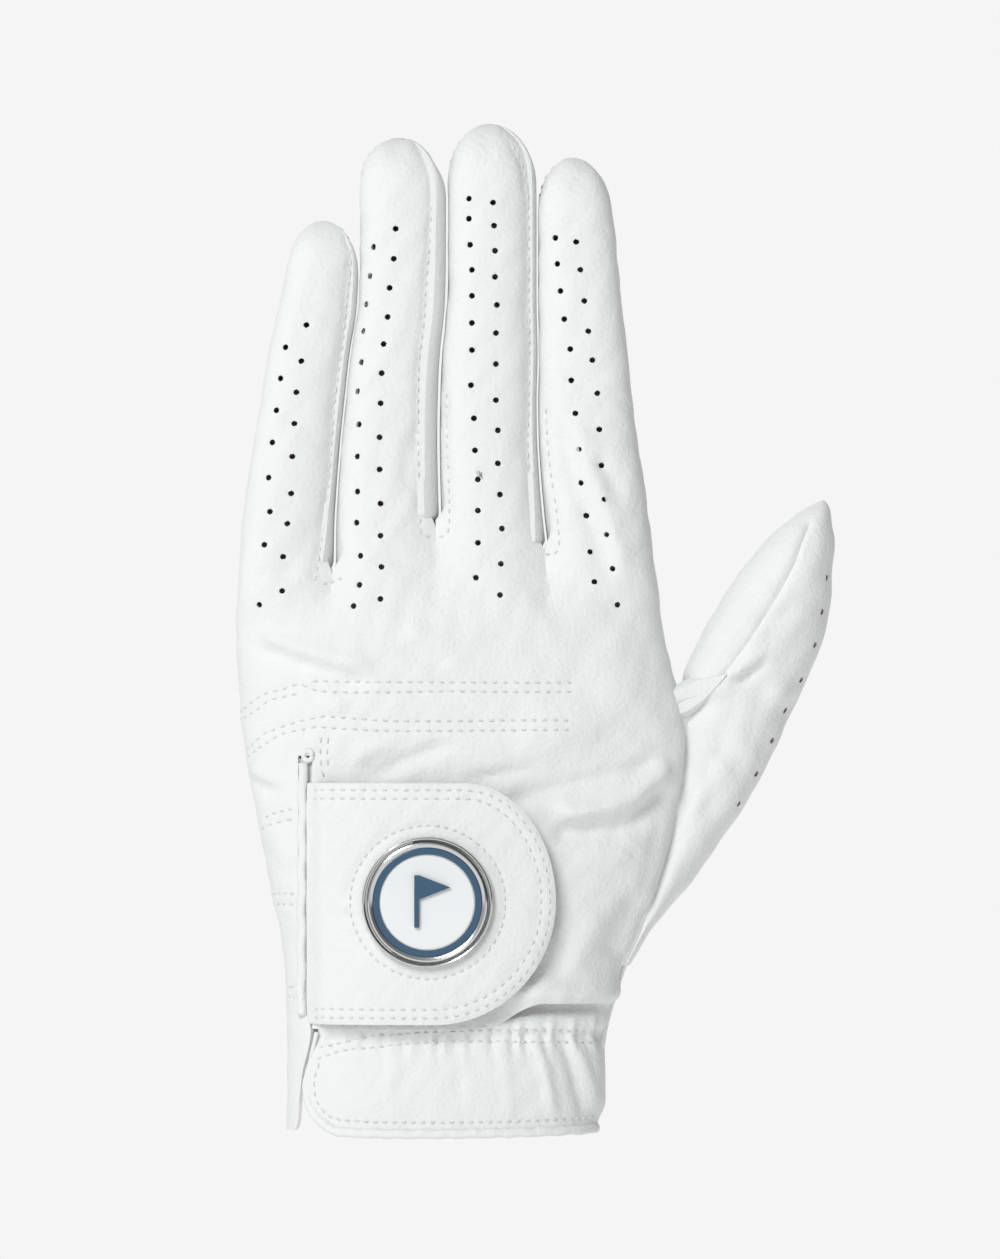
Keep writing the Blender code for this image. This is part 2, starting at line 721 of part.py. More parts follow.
def disc(bench, name, radius, height, base_y, material, parent, hole=0.0):
    """Turned disc or ring that faces the back of the hand, its base at base_y."""
    mesh = bpy.data.meshes.new(name)
    work = bmesh.new()
    profile = ((radius, 0.0), (radius, height), (hole, height), (hole, 0.0))
    turns = 40
    loops = []
    for k in range(turns):
        turn = 2 * math.pi * k / turns
        ring = []
        for r, rise in profile:
            if r > 0.0:
                ring.append(work.verts.new((
                    (MARKER_CENTRE[0] + r * math.cos(turn)) * MM, (base_y - rise) * MM,
                    (MARKER_CENTRE[1] + r * math.sin(turn)) * MM)))
        loops.append(ring)
    width = len(loops[0])
    closed = hole > 0.0
    for k in range(turns):
        a, b = loops[k], loops[(k + 1) % turns]
        for m in range(width if closed else width - 1):
            n = (m + 1) % width
            work.faces.new((a[m], b[m], b[n], a[n]))
    if not closed:
        work.faces.new([ring[0] for ring in loops])
        work.faces.new([ring[1] for ring in reversed(loops)])
    bmesh.ops.recalc_face_normals(work, faces=work.faces)
    work.to_mesh(mesh)
    work.free()
    return bench.add(name, mesh, material, parent)


def build_cup(bench, parent, base_y):
    """Shallow metal cup: a turned profile with a floor and a rim."""
    mesh = bpy.data.meshes.new("marker_cup")
    work = bmesh.new()
    profile = (
        (0.0, 0.0), (CUP_RADIUS, 0.0), (CUP_RADIUS, CUP_HEIGHT),
        (CUP_RADIUS - CUP_WALL, CUP_HEIGHT), (CUP_RADIUS - CUP_WALL, CUP_FLOOR), (0.0, CUP_FLOOR))
    verts = [work.verts.new((r * MM, 0.0, rise * MM)) for r, rise in profile]
    edges = [work.edges.new((verts[k], verts[k + 1])) for k in range(len(verts) - 1)]
    bmesh.ops.spin(
        work, geom=verts + edges, axis=(0, 0, 1), cent=(0, 0, 0), steps=40,
        angle=2 * math.pi, use_merge=True)
    bmesh.ops.remove_doubles(work, verts=work.verts, dist=0.00001)
    bmesh.ops.recalc_face_normals(work, faces=work.faces)
    work.to_mesh(mesh)
    work.free()
    cup = bench.add("marker_cup", mesh, "metal")
    cup.rotation_euler = (math.pi / 2, 0.0, 0.0)
    cup.location = Vector((MARKER_CENTRE[0], base_y, MARKER_CENTRE[1])) * MM
    cup.parent = parent
    cup.matrix_parent_inverse = parent.matrix_world.inverted()
    return cup


def build_emblem(bench, parent, base_y):
    """Plain pennant on a staff, as one raised shape on the marker's face."""
    curve = bpy.data.curves.new("marker_emblem", "CURVE")
    curve.dimensions = "2D"
    curve.fill_mode = "BOTH"
    curve.extrude = INLAY_HEIGHT / 2 * MM
    spline = curve.splines.new("POLY")
    spline.points.add(len(PENNANT) - 1)
    for point, (x, z) in zip(spline.points, PENNANT):
        point.co = (x * MM, z * MM, 0.0, 1.0)
    spline.use_cyclic_u = True
    emblem = bpy.data.objects.new("marker_emblem", curve)
    curve.materials.append(bench.materials["enamel"])
    bench.parts.objects.link(emblem)
    emblem.rotation_euler = (math.pi / 2, 0.0, 0.0)
    emblem.location = Vector((MARKER_CENTRE[0], base_y - INLAY_HEIGHT / 2, MARKER_CENTRE[1])) * MM
    emblem.parent = parent
    emblem.matrix_parent_inverse = parent.matrix_world.inverted()


def build_closure(bench, tab_joint, marker_joint):
    """Closure tab with its lining and hook tape, the loop tape, the cup and the ball marker."""
    loop_rows = [
        [hand_at_x(x, height, 1, LOOP_LAYER[0]) for x in spread(*LOOP_X, 7)]
        for height in spread(*LOOP_Z, 5)]
    bench.skin("loop_patch", [loop_rows], "loop", LOOP_LAYER[1])
    hook_rows = [
        [hand_at_x(x, height, 1, HOOK_LAYER[0]) for x in spread(*HOOK_X, 6)]
        for height in spread(*HOOK_Z, 4)]
    bench.skin("hook_patch", [hook_rows], "hook", HOOK_LAYER[1], tab_joint)
    bench.skin(
        "tab_lining", [tab_rows(LINING_INSET, LINING_LAYER[0], TAB_LEFT + LINING_MARGIN)],
        "lining", LINING_LAYER[1], tab_joint)
    tab = bench.skin(
        "closure_tab", [tab_rows(0.0, TAB_LAYER[0], TAB_LEFT)], "leather", TAB_LAYER[1],
        tab_joint)
    bpy.ops.mesh.primitive_cylinder_add(
        vertices=40, radius=(CUP_RADIUS + 0.4) * MM, depth=12.0 * MM,
        location=(MARKER_CENTRE[0] * MM, -18.0 * MM, MARKER_CENTRE[1] * MM),
        rotation=(math.pi / 2, 0.0, 0.0))
    cutter = bpy.context.object
    cutter.name = "cup_hole"
    for collection in list(cutter.users_collection):
        collection.objects.unlink(cutter)
    bench.cutters.objects.link(cutter)
    cutter.hide_render = True
    cutter.display_type = "WIRE"
    cut = tab.modifiers.new("cup_hole", "BOOLEAN")
    cut.operation = "DIFFERENCE"
    cut.object = cutter
    cut.solver = "EXACT"
    base_y = min(
        hand_at_x(MARKER_CENTRE[0] + x, MARKER_CENTRE[1] + z, 1, LINING_LAYER[0]).y
        for x in (-CUP_RADIUS, 0.0, CUP_RADIUS) for z in (-CUP_RADIUS, 0.0, CUP_RADIUS)) - GAP
    build_cup(bench, tab_joint, base_y)
    magnet_y = base_y - CUP_FLOOR - STACK_GAP
    disc(bench, "cup_magnet", MAGNET_RADIUS, MAGNET_HEIGHT, magnet_y, "magnet", tab_joint)
    marker_y = magnet_y - MAGNET_HEIGHT - STACK_GAP
    disc(bench, "ball_marker", MARKER_RADIUS, MARKER_HEIGHT, marker_y, "metal", marker_joint)
    inlay_y = marker_y - MARKER_HEIGHT - STACK_GAP
    disc(
        bench, "marker_enamel_ring", ENAMEL_RADIUS, INLAY_HEIGHT, inlay_y, "enamel",
        marker_joint, ENAMEL_RADIUS - ENAMEL_WIDTH)
    disc(bench, "marker_face", FACE_RADIUS, INLAY_HEIGHT, inlay_y, "face", marker_joint)
    build_emblem(bench, marker_joint, inlay_y - INLAY_HEIGHT - STACK_GAP)


def main():
    """Build the whole glove."""
    bench = Bench()
    knuckle_joint = bench.joint("knuckle_joint", (0.0, 0.0, KNUCKLE_Z))
    tips = {name: bench.joint(f"{name}_joint", FINGER_HINGES[name].point) for name in ORDER}
    thumb_joint = bench.joint("thumb_joint", THUMB_JOINT)
    fold_y = hand_at_x(TAB_LEFT, TAB_WAIST, 1, TAB_LAYER[0]).y
    tab_joint = bench.joint("tab_joint", (TAB_LEFT, fold_y, TAB_WAIST))
    marker_joint = bench.joint("marker_joint", (MARKER_CENTRE[0], fold_y, MARKER_CENTRE[1]))
    build_back_panel(bench)
    build_palm_panel(bench)
    build_cuff(bench)
    build_knuckle_elastics(bench)
    build_slit_edge(bench)
    build_thumb(bench, thumb_joint)
    build_finger_panels(bench, knuckle_joint)
    build_gussets(bench, knuckle_joint, tips)
    build_fingertips(bench, tips)
    build_closure(bench, tab_joint, marker_joint)


main()
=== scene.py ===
"""Left-hand golf glove in thin white sheepskin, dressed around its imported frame.

Frame: metres, +Z along the fingers, +X towards the thumb, the back of the hand faces -Y.
The form functions below work in millimetres, and MM turns them into metres in the meshes.
"""
import json
import logging
import math
from dataclasses import dataclass
from enum import Enum
from typing import Callable, Iterable, Sequence

import bpy
import numpy as np
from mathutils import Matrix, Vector
from mathutils.bvhtree import BVHTree

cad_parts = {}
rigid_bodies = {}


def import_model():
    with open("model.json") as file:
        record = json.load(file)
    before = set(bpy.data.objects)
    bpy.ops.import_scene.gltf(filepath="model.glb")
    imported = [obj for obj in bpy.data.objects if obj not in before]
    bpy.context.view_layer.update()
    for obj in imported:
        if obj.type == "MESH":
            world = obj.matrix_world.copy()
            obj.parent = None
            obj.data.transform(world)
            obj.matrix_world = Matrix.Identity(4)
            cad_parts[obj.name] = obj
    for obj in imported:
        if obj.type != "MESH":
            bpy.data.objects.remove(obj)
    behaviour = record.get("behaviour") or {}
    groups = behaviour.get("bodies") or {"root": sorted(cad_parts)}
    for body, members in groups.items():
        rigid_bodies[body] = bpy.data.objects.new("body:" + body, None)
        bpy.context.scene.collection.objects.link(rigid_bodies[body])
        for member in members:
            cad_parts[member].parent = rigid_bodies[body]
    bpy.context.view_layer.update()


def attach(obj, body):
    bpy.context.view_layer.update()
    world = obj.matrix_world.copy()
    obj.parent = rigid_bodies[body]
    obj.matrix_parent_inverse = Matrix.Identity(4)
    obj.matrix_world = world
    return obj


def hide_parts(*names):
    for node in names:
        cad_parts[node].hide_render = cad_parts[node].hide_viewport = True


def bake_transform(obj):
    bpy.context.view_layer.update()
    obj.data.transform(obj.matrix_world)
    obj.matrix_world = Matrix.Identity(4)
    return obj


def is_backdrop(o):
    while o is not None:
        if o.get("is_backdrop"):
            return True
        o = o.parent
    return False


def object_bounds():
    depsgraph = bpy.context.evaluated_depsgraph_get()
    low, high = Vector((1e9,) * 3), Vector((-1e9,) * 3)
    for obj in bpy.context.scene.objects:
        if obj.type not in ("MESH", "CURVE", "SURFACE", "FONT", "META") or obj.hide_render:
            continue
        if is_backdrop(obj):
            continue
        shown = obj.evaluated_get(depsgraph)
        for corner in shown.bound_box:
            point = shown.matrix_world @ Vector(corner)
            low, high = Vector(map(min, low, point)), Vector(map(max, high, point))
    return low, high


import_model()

log = logging.getLogger("golf_glove")
MM = 0.001
Points = np.ndarray
Path = Sequence[tuple[float, float]]

# Leather thickness, the mesh's spacing on it, the stitches' pitch and length, and the radius of
# the ventilation holes.
LEATHER = 0.8
CELL = 0.8
PITCH = 2.1
STITCH = 1.25
HOLE = 0.62

# Hand: height, left edge, right edge, depth to the back, depth to the palm.
HAND = (
    (0.0, -31.0, 31.0, 15.6, 16.8), (12.0, -31.0, 31.8, 15.6, 16.8),
    (23.0, -31.0, 33.6, 15.8, 17.2), (37.0, -31.8, 38.2, 15.9, 17.4),
    (50.0, -34.4, 43.2, 15.7, 16.8), (64.0, -37.0, 46.6, 15.2, 15.8),
    (77.0, -39.4, 48.6, 14.4, 14.8), (87.0, -40.4, 47.4, 13.6, 14.0),
    (99.0, -41.2, 44.6, 12.9, 13.2), (112.0, -40.6, 42.8, 11.8, 12.2),
    (124.0, -39.8, 41.4, 11.2, 11.6),
)
HAND_ROUND = 2.5
FINGER_ROUND = 2.4
BACK_FLAT = 0.52
PALM_FLAT = 0.7
THUMB_ROUND = 2.2
KNUCKLE_Z = 99.0
CROTCHES = ((-21.9, 112.0), (-1.2, 121.6), (20.6, 116.6))
PALM_SEAM = 32.0


@dataclass(frozen=True)
class Finger:
    """One finger: its form, its joint and where its seams and its ventilation holes run.

    Attributes:
        stations: height, left edge, right edge and half depth.
        shoulder: height at which the tip starts to close.
        top: height of the tip.
        pip: height of the middle joint.
        root: height at which the finger's own leather is joined to the hand's.
        seams: height, and the angles of the back leather's left and right edges.
        sewn: rows of stitches on the back, as x and height.
        holes: two rows of ventilation holes as x and height.
    """

    stations: tuple
    shoulder: float
    top: float
    pip: float
    root: float
    seams: tuple
    sewn: tuple
    holes: tuple


FINGERS: dict[str, Finger] = {
    "little": Finger(
        ((99.0, -41.2, -23.6, 11.4), (112.0, -40.6, -22.6, 9.6), (124.0, -39.8, -22.5, 8.6),
         (137.0, -37.8, -21.6, 8.0), (147.0, -36.2, -20.8, 7.7), (156.0, -34.8, -19.6, 7.5),
         (166.0, -32.6, -18.2, 7.2), (175.0, -30.8, -17.4, 6.9), (183.0, -30.4, -17.2, 6.8)),
        173.5, 182.8, 143.0, 126.6,
        ((99.0, 180.0, 36.0), (112.0, 180.0, 36.0), (124.0, 180.0, 22.0), (150.0, 180.0, 20.0),
         (184.0, 180.0, 24.0)),
        (((-25.4, 110.6), (-25.0, 112.4), (-24.2, 118.0), (-23.2, 125.0), (-22.4, 133.0),
          (-22.0, 141.0), (-21.4, 147.8), (-20.6, 153.0), (-19.8, 159.0), (-19.4, 163.8),
          (-19.0, 168.2), (-18.4, 172.6), (-18.3, 176.4), (-19.2, 179.6)),),
        ((-27.0, 161.8), (-28.0, 154.6), (-29.0, 148.4), (-29.4, 142.2), (-29.8, 135.6),
         (-30.6, 128.4), (-30.8, 122.2), (-31.6, 115.6), (-31.8, 108.8),
         (-31.2, 157.4), (-32.2, 151.2), (-33.0, 144.8), (-33.8, 138.4), (-34.6, 131.4),
         (-34.2, 124.8), (-35.4, 118.0), (-36.4, 106.0))),
    "ring": Finger(
        ((99.0, -22.6, 0.0, 12.2), (112.0, -21.4, -1.2, 11.0), (124.0, -21.1, -1.8, 9.6),
         (137.0, -20.2, -2.0, 9.0), (147.0, -19.2, -2.2, 8.6), (156.0, -18.2, -1.8, 8.3),
         (166.0, -16.7, -0.9, 8.0), (180.0, -16.4, -0.4, 7.7), (200.0, -16.6, -0.4, 7.5)),
        189.0, 199.4, 153.0, 130.8,
        ((99.0, 144.0, 38.0), (112.0, 144.0, 38.0), (122.0, 152.0, 39.0), (137.0, 168.0, 40.0),
         (160.0, 172.0, 39.0), (200.0, 170.0, 34.0)),
        (((-2.2, 119.6), (-4.2, 120.0), (-4.4, 122.4), (-4.6, 129.0), (-4.8, 138.4),
          (-4.8, 151.0), (-4.4, 157.0), (-3.6, 163.4), (-3.2, 171.0), (-2.6, 178.2),
          (-2.2, 183.8), (-1.9, 188.8), (-2.4, 193.0), (-4.2, 196.4)),
         ((-24.0, 110.2), (-21.8, 110.6), (-19.4, 111.6))),
        ((-9.2, 181.0), (-9.6, 175.0), (-10.4, 169.2), (-10.8, 163.4), (-11.6, 158.0),
         (-12.0, 152.2), (-12.2, 146.2), (-12.4, 139.4), (-12.4, 133.0), (-12.2, 126.2),
         (-12.2, 119.8), (-12.0, 113.6), (-12.2, 107.2),
         (-13.6, 177.4), (-14.4, 171.6), (-15.2, 166.0), (-15.6, 160.6), (-16.0, 154.4),
         (-16.8, 148.6), (-16.6, 142.0), (-16.8, 135.6), (-16.8, 128.6), (-17.0, 122.4),
         (-16.2, 115.8), (-16.4, 110.0), (-17.6, 105.8))),
    "middle": Finger(
        ((99.0, 1.2, 21.2, 12.4), (112.0, 0.2, 20.0, 11.2), (124.0, -0.2, 18.8, 10.0),
         (137.0, -0.5, 17.7, 9.3), (147.0, -0.4, 17.6, 8.9), (156.0, 0.0, 17.8, 8.6),
         (166.0, 1.0, 17.6, 8.4), (180.0, 1.2, 17.6, 8.1), (202.0, 1.2, 17.6, 7.8)),
        190.5, 202.2, 157.0, 132.6,
        ((99.0, 144.0, 34.0), (116.0, 146.0, 32.0), (126.0, 153.0, 22.0), (140.0, 162.0, 16.0),
         (157.0, 172.0, 14.0), (202.0, 172.0, 16.0)),
        (((19.2, 118.0), (18.0, 127.0), (17.0, 136.0), (17.2, 146.0), (17.4, 157.0),
          (17.2, 169.0), (17.2, 182.0), (16.8, 190.0), (15.6, 194.6), (13.6, 198.4)),
         ((-0.8, 119.4), (1.2, 120.4), (1.5, 125.0), (1.3, 132.0), (1.0, 140.0), (0.9, 149.0))),
        ((5.4, 187.0), (5.4, 183.0), (5.6, 177.8), (6.0, 172.8), (6.0, 167.6), (6.0, 162.2),
         (6.0, 156.8), (5.8, 149.8), (6.4, 143.2), (6.6, 136.8), (7.0, 130.8), (7.2, 124.8),
         (7.2, 118.4), (6.8, 111.4),
         (10.2, 186.2), (10.4, 181.6), (10.6, 176.6), (10.6, 171.4), (11.0, 165.8),
         (10.8, 160.2), (10.8, 154.0), (10.8, 146.8), (11.2, 140.8), (11.4, 134.4),
         (11.6, 128.0), (12.0, 121.2), (11.8, 114.2), (11.6, 108.0))),
    "index": Finger(
        ((99.0, 22.4, 44.6, 11.6), (112.0, 21.8, 42.8, 10.4), (124.0, 20.4, 41.3, 9.5),
         (137.0, 19.4, 39.4, 9.0), (147.0, 19.2, 38.0, 8.6), (156.0, 19.4, 37.2, 8.3),
         (166.0, 19.2, 36.0, 8.0), (178.0, 19.2, 34.8, 7.7), (196.0, 19.2, 33.0, 7.4)),
        184.5, 195.4, 151.0, 128.7,
        ((99.0, 146.0, 0.0), (116.0, 148.0, 0.0), (128.0, 155.0, 0.0), (142.0, 162.0, 0.0),
         (155.0, 172.0, 0.0), (196.0, 172.0, 0.0)),
        (((20.2, 116.2), (22.6, 116.2), (23.4, 118.2), (22.8, 125.0), (22.2, 129.0),
          (21.6, 133.0), (21.0, 139.6), (20.7, 146.0)),),
        ((22.6, 179.2), (23.0, 174.0), (23.6, 168.6), (24.4, 163.0), (25.6, 157.0),
         (25.8, 150.8), (26.6, 144.2), (27.2, 137.0), (28.0, 130.6), (28.8, 123.8),
         (29.6, 116.6), (30.4, 110.6),
         (26.8, 178.4), (27.6, 172.8), (28.4, 166.6), (29.2, 160.6), (30.0, 154.8),
         (31.0, 148.2), (31.4, 141.0), (31.8, 133.8), (32.4, 126.8), (32.8, 120.0),
         (34.0, 113.2), (35.0, 106.0))),
}
ORDER = ("little", "ring", "middle", "index")

# Thumb: height, left edge, front seam, right edge, palm seam, then the depths (y) of the front
# seam, of the two edges and of the palm seam.
THUMB = (
    (34.0, 35.0, 36.6, 37.6, 24.0, -4.8, 4.0, 17.4),
    (41.0, 37.0, 39.9, 42.0, 25.0, -4.8, 4.0, 17.8),
    (50.0, 40.0, 43.3, 49.6, 27.0, -4.8, 4.2, 18.0),
    (61.0, 43.0, 46.4, 57.4, 29.5, -4.7, 4.5, 17.6),
    (72.0, 46.0, 48.5, 64.2, 32.0, -4.6, 4.6, 16.6),
    (83.0, 49.2, 49.4, 69.4, 34.0, -4.4, 4.4, 15.4),
    (87.5, 48.8, 52.6, 71.6, 50.0, -4.6, 4.2, 14.8),
    (92.0, 48.2, 56.2, 73.6, 58.4, -5.2, 4.0, 14.2),
    (98.6, 51.0, 61.2, 76.0, 63.4, -6.0, 3.6, 13.2),
    (105.2, 54.8, 65.4, 77.6, 66.4, -6.4, 3.0, 12.2),
    (113.4, 60.2, 70.0, 78.3, 70.0, -6.0, 2.4, 10.4),
    (119.6, 65.4, 72.3, 78.4, 72.6, -4.6, 2.0, 8.2),
    (124.2, 70.8, 74.4, 77.7, 74.8, -2.2, 1.6, 5.0),
    (126.2, 74.6, 75.9, 77.1, 76.0, 0.0, 1.4, 2.8),
    (126.9, 76.0, 76.2, 76.4, 76.2, 1.1, 1.3, 1.5),
)

# Slit, tab and marker.
SLIT_TOP = 76.0
TAB_LEFT = -26.9
TAB_RIGHT = 22.8
TAB_TOP = 70.6
TAB_BOTTOM = 22.6
TAB_WAIST = 47.0
TAB_TOP_STRAIGHT = 4.4
TAB_BOTTOM_STRAIGHT = -1.6
TAB_OUT = 4.2
TAB_THICK = 0.9
MARKER = np.array((-2.8, 47.0))


class Side(Enum):
    """The two faces of the glove, as the sign of the way each one looks along -Y."""

    BACK = 1
    PALM = -1


OUT_BACK = (0.0, -1.0, 0.0)
OUT_PALM = (0.0, 1.0, 0.0)


# ---------------------------------------------------------------- form

def ease(t: Points) -> Points:
    """Ease from 0 to 1."""
    t = np.clip(t, 0.0, 1.0)
    return t * t * (3.0 - 2.0 * t)


def mix(a: Points, b: Points, t: Points) -> Points:
    """Go from a to b by the fraction t."""
    return a + (b - a) * t


class Profile:
    """Smooth curve through stations, each a height and its values."""

    STEPS = 24

    def __init__(self, stations: Sequence[Sequence[float]]) -> None:
        table = np.array(stations, float)
        heights, values = table[:, 0], table[:, 1:]
        last = len(table) - 1
        found_heights, found = [], []
        for k in range(last):
            before, after = max(k - 1, 0), min(k + 2, last)
            span = heights[k + 1] - heights[k]
            rise_in = (values[k + 1] - values[before]) / (heights[k + 1] - heights[before]) * span
            rise_out = (values[after] - values[k]) / (heights[after] - heights[k]) * span
            t = np.linspace(0.0, 1.0, self.STEPS + 1)[:, None]
            curve = (
                (2 * t**3 - 3 * t**2 + 1) * values[k] + (t**3 - 2 * t**2 + t) * rise_in
                + (3 * t**2 - 2 * t**3) * values[k + 1] + (t**3 - t**2) * rise_out)
            found_heights.append(heights[k] + span * t[:, 0])
            found.append(curve)
        self.heights = np.concatenate(found_heights)
        self.values = np.concatenate(found)

    def __call__(self, height: Points) -> list[Points]:
        """Values at one height or at an array of heights."""
        return [np.interp(height, self.heights, column) for column in self.values.T]


HAND_PROFILE = Profile(HAND)
THUMB_PROFILE = Profile(THUMB)
FINGER_PROFILES = {name: Profile(finger.stations) for name, finger in FINGERS.items()}
SEAM_PROFILES = {name: Profile(finger.seams) for name, finger in FINGERS.items()}


def rounded(angle: Points, roundness: float) -> tuple[Points, Points]:
    """Cosine and sine of an angle in degrees, bulged into a superellipse."""
    c, s = np.cos(np.radians(angle)), np.sin(np.radians(angle))
    power = 2.0 / roundness
    return np.sign(c) * np.abs(c) ** power, np.sign(s) * np.abs(s) ** power


def hand_point(angle: Points, height: Points, out: Points = 0.0) -> Points:
    """Points on the hand; angle 0 is the thumb side, 90 the back and 270 the palm."""
    left, right, back, palm = HAND_PROFILE(height)
    c, s = rounded(angle, HAND_ROUND)
    depth = np.where(s > 0, back, palm)
    x = (left + right) / 2 + ((right - left) / 2 + out) * c
    return np.stack(np.broadcast_arrays(x, -(depth + out) * s, height), -1).astype(float)


def hand_at_x(x: Points, height: Points, side: Side = Side.BACK, out: Points = 0.0) -> Points:
    """Points on the hand above a given x."""
    left, right, back, palm = HAND_PROFILE(height)
    depth = (back if side is Side.BACK else palm) + out
    t = np.clip(np.abs((x - (left + right) / 2) / ((right - left) / 2)), 0.0, 1.0)
    y = -side.value * depth * (1 - t**HAND_ROUND) ** (1 / HAND_ROUND)
    return np.stack(np.broadcast_arrays(x, y, height), -1).astype(float)


def angle_at_x(x: Points, height: Points) -> Points:
    """Angle of the back of the hand at a given x."""
    left, right = HAND_PROFILE(height)[:2]
    t = np.clip((x - (left + right) / 2) / ((right - left) / 2), -1.0, 1.0)
    return np.degrees(np.arccos(np.sign(t) * np.abs(t) ** (HAND_ROUND / 2)))


def finger_point(name: str, angle: Points, height: Points, out: Points = 0.0) -> Points:
    """Points on a finger, which closes in a dome above the shoulder."""
    finger = FINGERS[name]
    left, right, depth = FINGER_PROFILES[name](height)
    rise = np.maximum(height - finger.shoulder, 0.0) / (finger.top - finger.shoulder)
    shrink = np.sqrt(np.maximum(1.0 - rise * rise, 0.0))
    c, s = rounded(angle, FINGER_ROUND)
    flat = np.where(s > 0, BACK_FLAT, PALM_FLAT)
    s = np.sign(s) * np.abs(np.sin(np.radians(angle))) ** flat
    x = (left + right) / 2 + ((right - left) / 2 + out) * shrink * c
    y = -(depth + out) * shrink * s
    return np.stack(np.broadcast_arrays(x, y, height), -1).astype(float)


def thumb_point(angle: Points, height: Points, out: Points = 0.0) -> Points:
    """Points on the thumb; angle 0 is its outer edge and 90 its front seam."""
    left, front, right, palm, front_y, edge_y, palm_y = THUMB_PROFILE(height)
    c, s = rounded(angle, THUMB_ROUND)
    middle = np.where(s > 0, front, palm)
    edge = np.where(c > 0, right + out, left - out)
    seam_y = np.where(s > 0, front_y - out, palm_y + out)
    x = middle + (edge - middle) * np.abs(c)
    y = edge_y + (seam_y - edge_y) * np.abs(s)
    return np.stack(np.broadcast_arrays(x, y, height), -1).astype(float)


def lane_edge(index: int, height: Points) -> Points:
    """x of the line between two fingers' lanes, carried down over the hand."""
    x, crotch = CROTCHES[index]
    return x + x * 0.04 * (crotch - height) / 20.0


def lane_top(index: int, fraction: Points) -> Points:
    """Height of the crotch line across a lane."""
    left = CROTCHES[max(index - 1, 0)][1]
    right = CROTCHES[min(index, len(CROTCHES) - 1)][1]
    return mix(left, right, fraction)


def gap_right(name: str, height: Points) -> Points:
    """Room between a finger and its neighbour on the right."""
    index = ORDER.index(name)
    if index == len(ORDER) - 1:
        return np.zeros_like(height)
    right = FINGER_PROFILES[name](height)[1]
    left = FINGER_PROFILES[ORDER[index + 1]](height)[0]
    return np.clip(left - right, 0.0, 2.2)


def strip_rise(name: str, on_right: bool, height: Points, across: Points) -> Points:
    """How far a side strip swells out between its two seams."""
    swell = np.sin(np.pi * np.clip(across, 0.0, 1.0) ** 0.6) ** 0.5
    reach = gap_right(name, height) - 0.30 if on_right else np.full_like(height, -0.05)
    return -0.5 + swell * (0.5 + reach)


def seam_flange(name: str, across: Points, height: Points) -> Points:
    """How far the raw right edge of a finger's back leather stands out sideways."""
    size = {"little": 0.7, "ring": 0.35, "middle": 0.8, "index": 0.0}[name]
    crotch = CROTCHES[min(ORDER.index(name), 2)][1]
    return size * ease((across - 0.86) / 0.14) * ease((height - crotch) / 8.0)


def thumb_side_angle(height: Points) -> Points:
    """Angle of the hand's seam on the thumb side."""
    return mix(10.0, 0.0, ease((height - 86.0) / 8.0))


def finger_seams(name: str, side: Side, height: Points) -> tuple[Points, Points]:
    """Angles of the left and right edges of a finger's back or palm leather."""
    left, right = SEAM_PROFILES[name](height)
    if side is Side.BACK:
        return left, right
    finger = FINGERS[name]
    close = ease((height - finger.shoulder + 3.0) / 9.0)
    palm_left = left + 0.6 if name == "little" else mix(180.0 + PALM_SEAM, left + 2.0, close)
    palm_right = -0.6 if name == "index" else mix(-PALM_SEAM, right - 2.0, close)
    return np.broadcast_to(palm_left, left.shape), np.broadcast_to(palm_right + 360.0, left.shape)


def lane_point(index: int, fraction: Points, height: Points, side: Side) -> Points:
    """Points between the hand and a finger, so that the fingers grow out of the hand."""
    name = ORDER[index]
    left = np.full_like(height, 180.0) if index == 0 else angle_at_x(
        lane_edge(index - 1, height), height)
    right = thumb_side_angle(height) if index == 3 else angle_at_x(lane_edge(index, height), height)
    if side is Side.PALM:
        left, right = 360.0 - left, 360.0 + (right if index == 3 else -right)
    on_hand = hand_point(mix(left, right, fraction), height)
    first, last = finger_seams(name, side, height)
    on_finger = finger_point(name, mix(first, last, fraction), height)
    for neighbour, edge, near in ((index - 1, 0.0, fraction), (index + 1, 1.0, 1.0 - fraction)):
        if not 0 <= neighbour < len(ORDER):
            continue
        crotch = CROTCHES[min(index, neighbour)][1]
        own = finger_point(name, first if edge == 0.0 else last, height)
        other_seams = finger_seams(ORDER[neighbour], side, height)
        other = finger_point(ORDER[neighbour], other_seams[1 if edge == 0.0 else 0], height)
        pull = np.clip(1.0 - near / 0.3, 0.0, 1.0) ** 2 * (1.0 - ease((height - crotch) / 5.0))
        on_finger = on_finger + (other - own) / 2 * pull[..., None]
    if side is Side.BACK:
        on_finger[..., 0] += seam_flange(name, fraction, height)
    share = ease((height - KNUCKLE_Z) / (lane_top(index, fraction) - KNUCKLE_Z))
    return mix(on_hand, on_finger, share[..., None])


# ---------------------------------------------------------------- creases

class Fold(Enum):
    """How leather lies along a line: pushed in, raised, or raised on one side of it."""

    GROOVE = -1
    RIDGE = 1
    STEP = 2


def smooth_path(path: Path, step: float = 1.0) -> Points:
    """Points along a smooth curve through a path, about one step apart."""
    knots = np.array(path, float)
    padded = np.vstack((2 * knots[0] - knots[1], knots, 2 * knots[-1] - knots[-2]))
    found = [knots[:1]]
    for k in range(len(knots) - 1):
        p0, p1, p2, p3 = padded[k:k + 4]
        count = max(2, int(np.linalg.norm(p2 - p1) / step) + 1)
        t = np.linspace(0.0, 1.0, count + 1)[1:, None]
        found.append(0.5 * (
            2 * p1 + (p2 - p0) * t + (2 * p0 - 5 * p1 + 4 * p2 - p3) * t**2
            + (3 * p1 - p0 - 3 * p2 + p3) * t**3))
    return np.vstack(found)


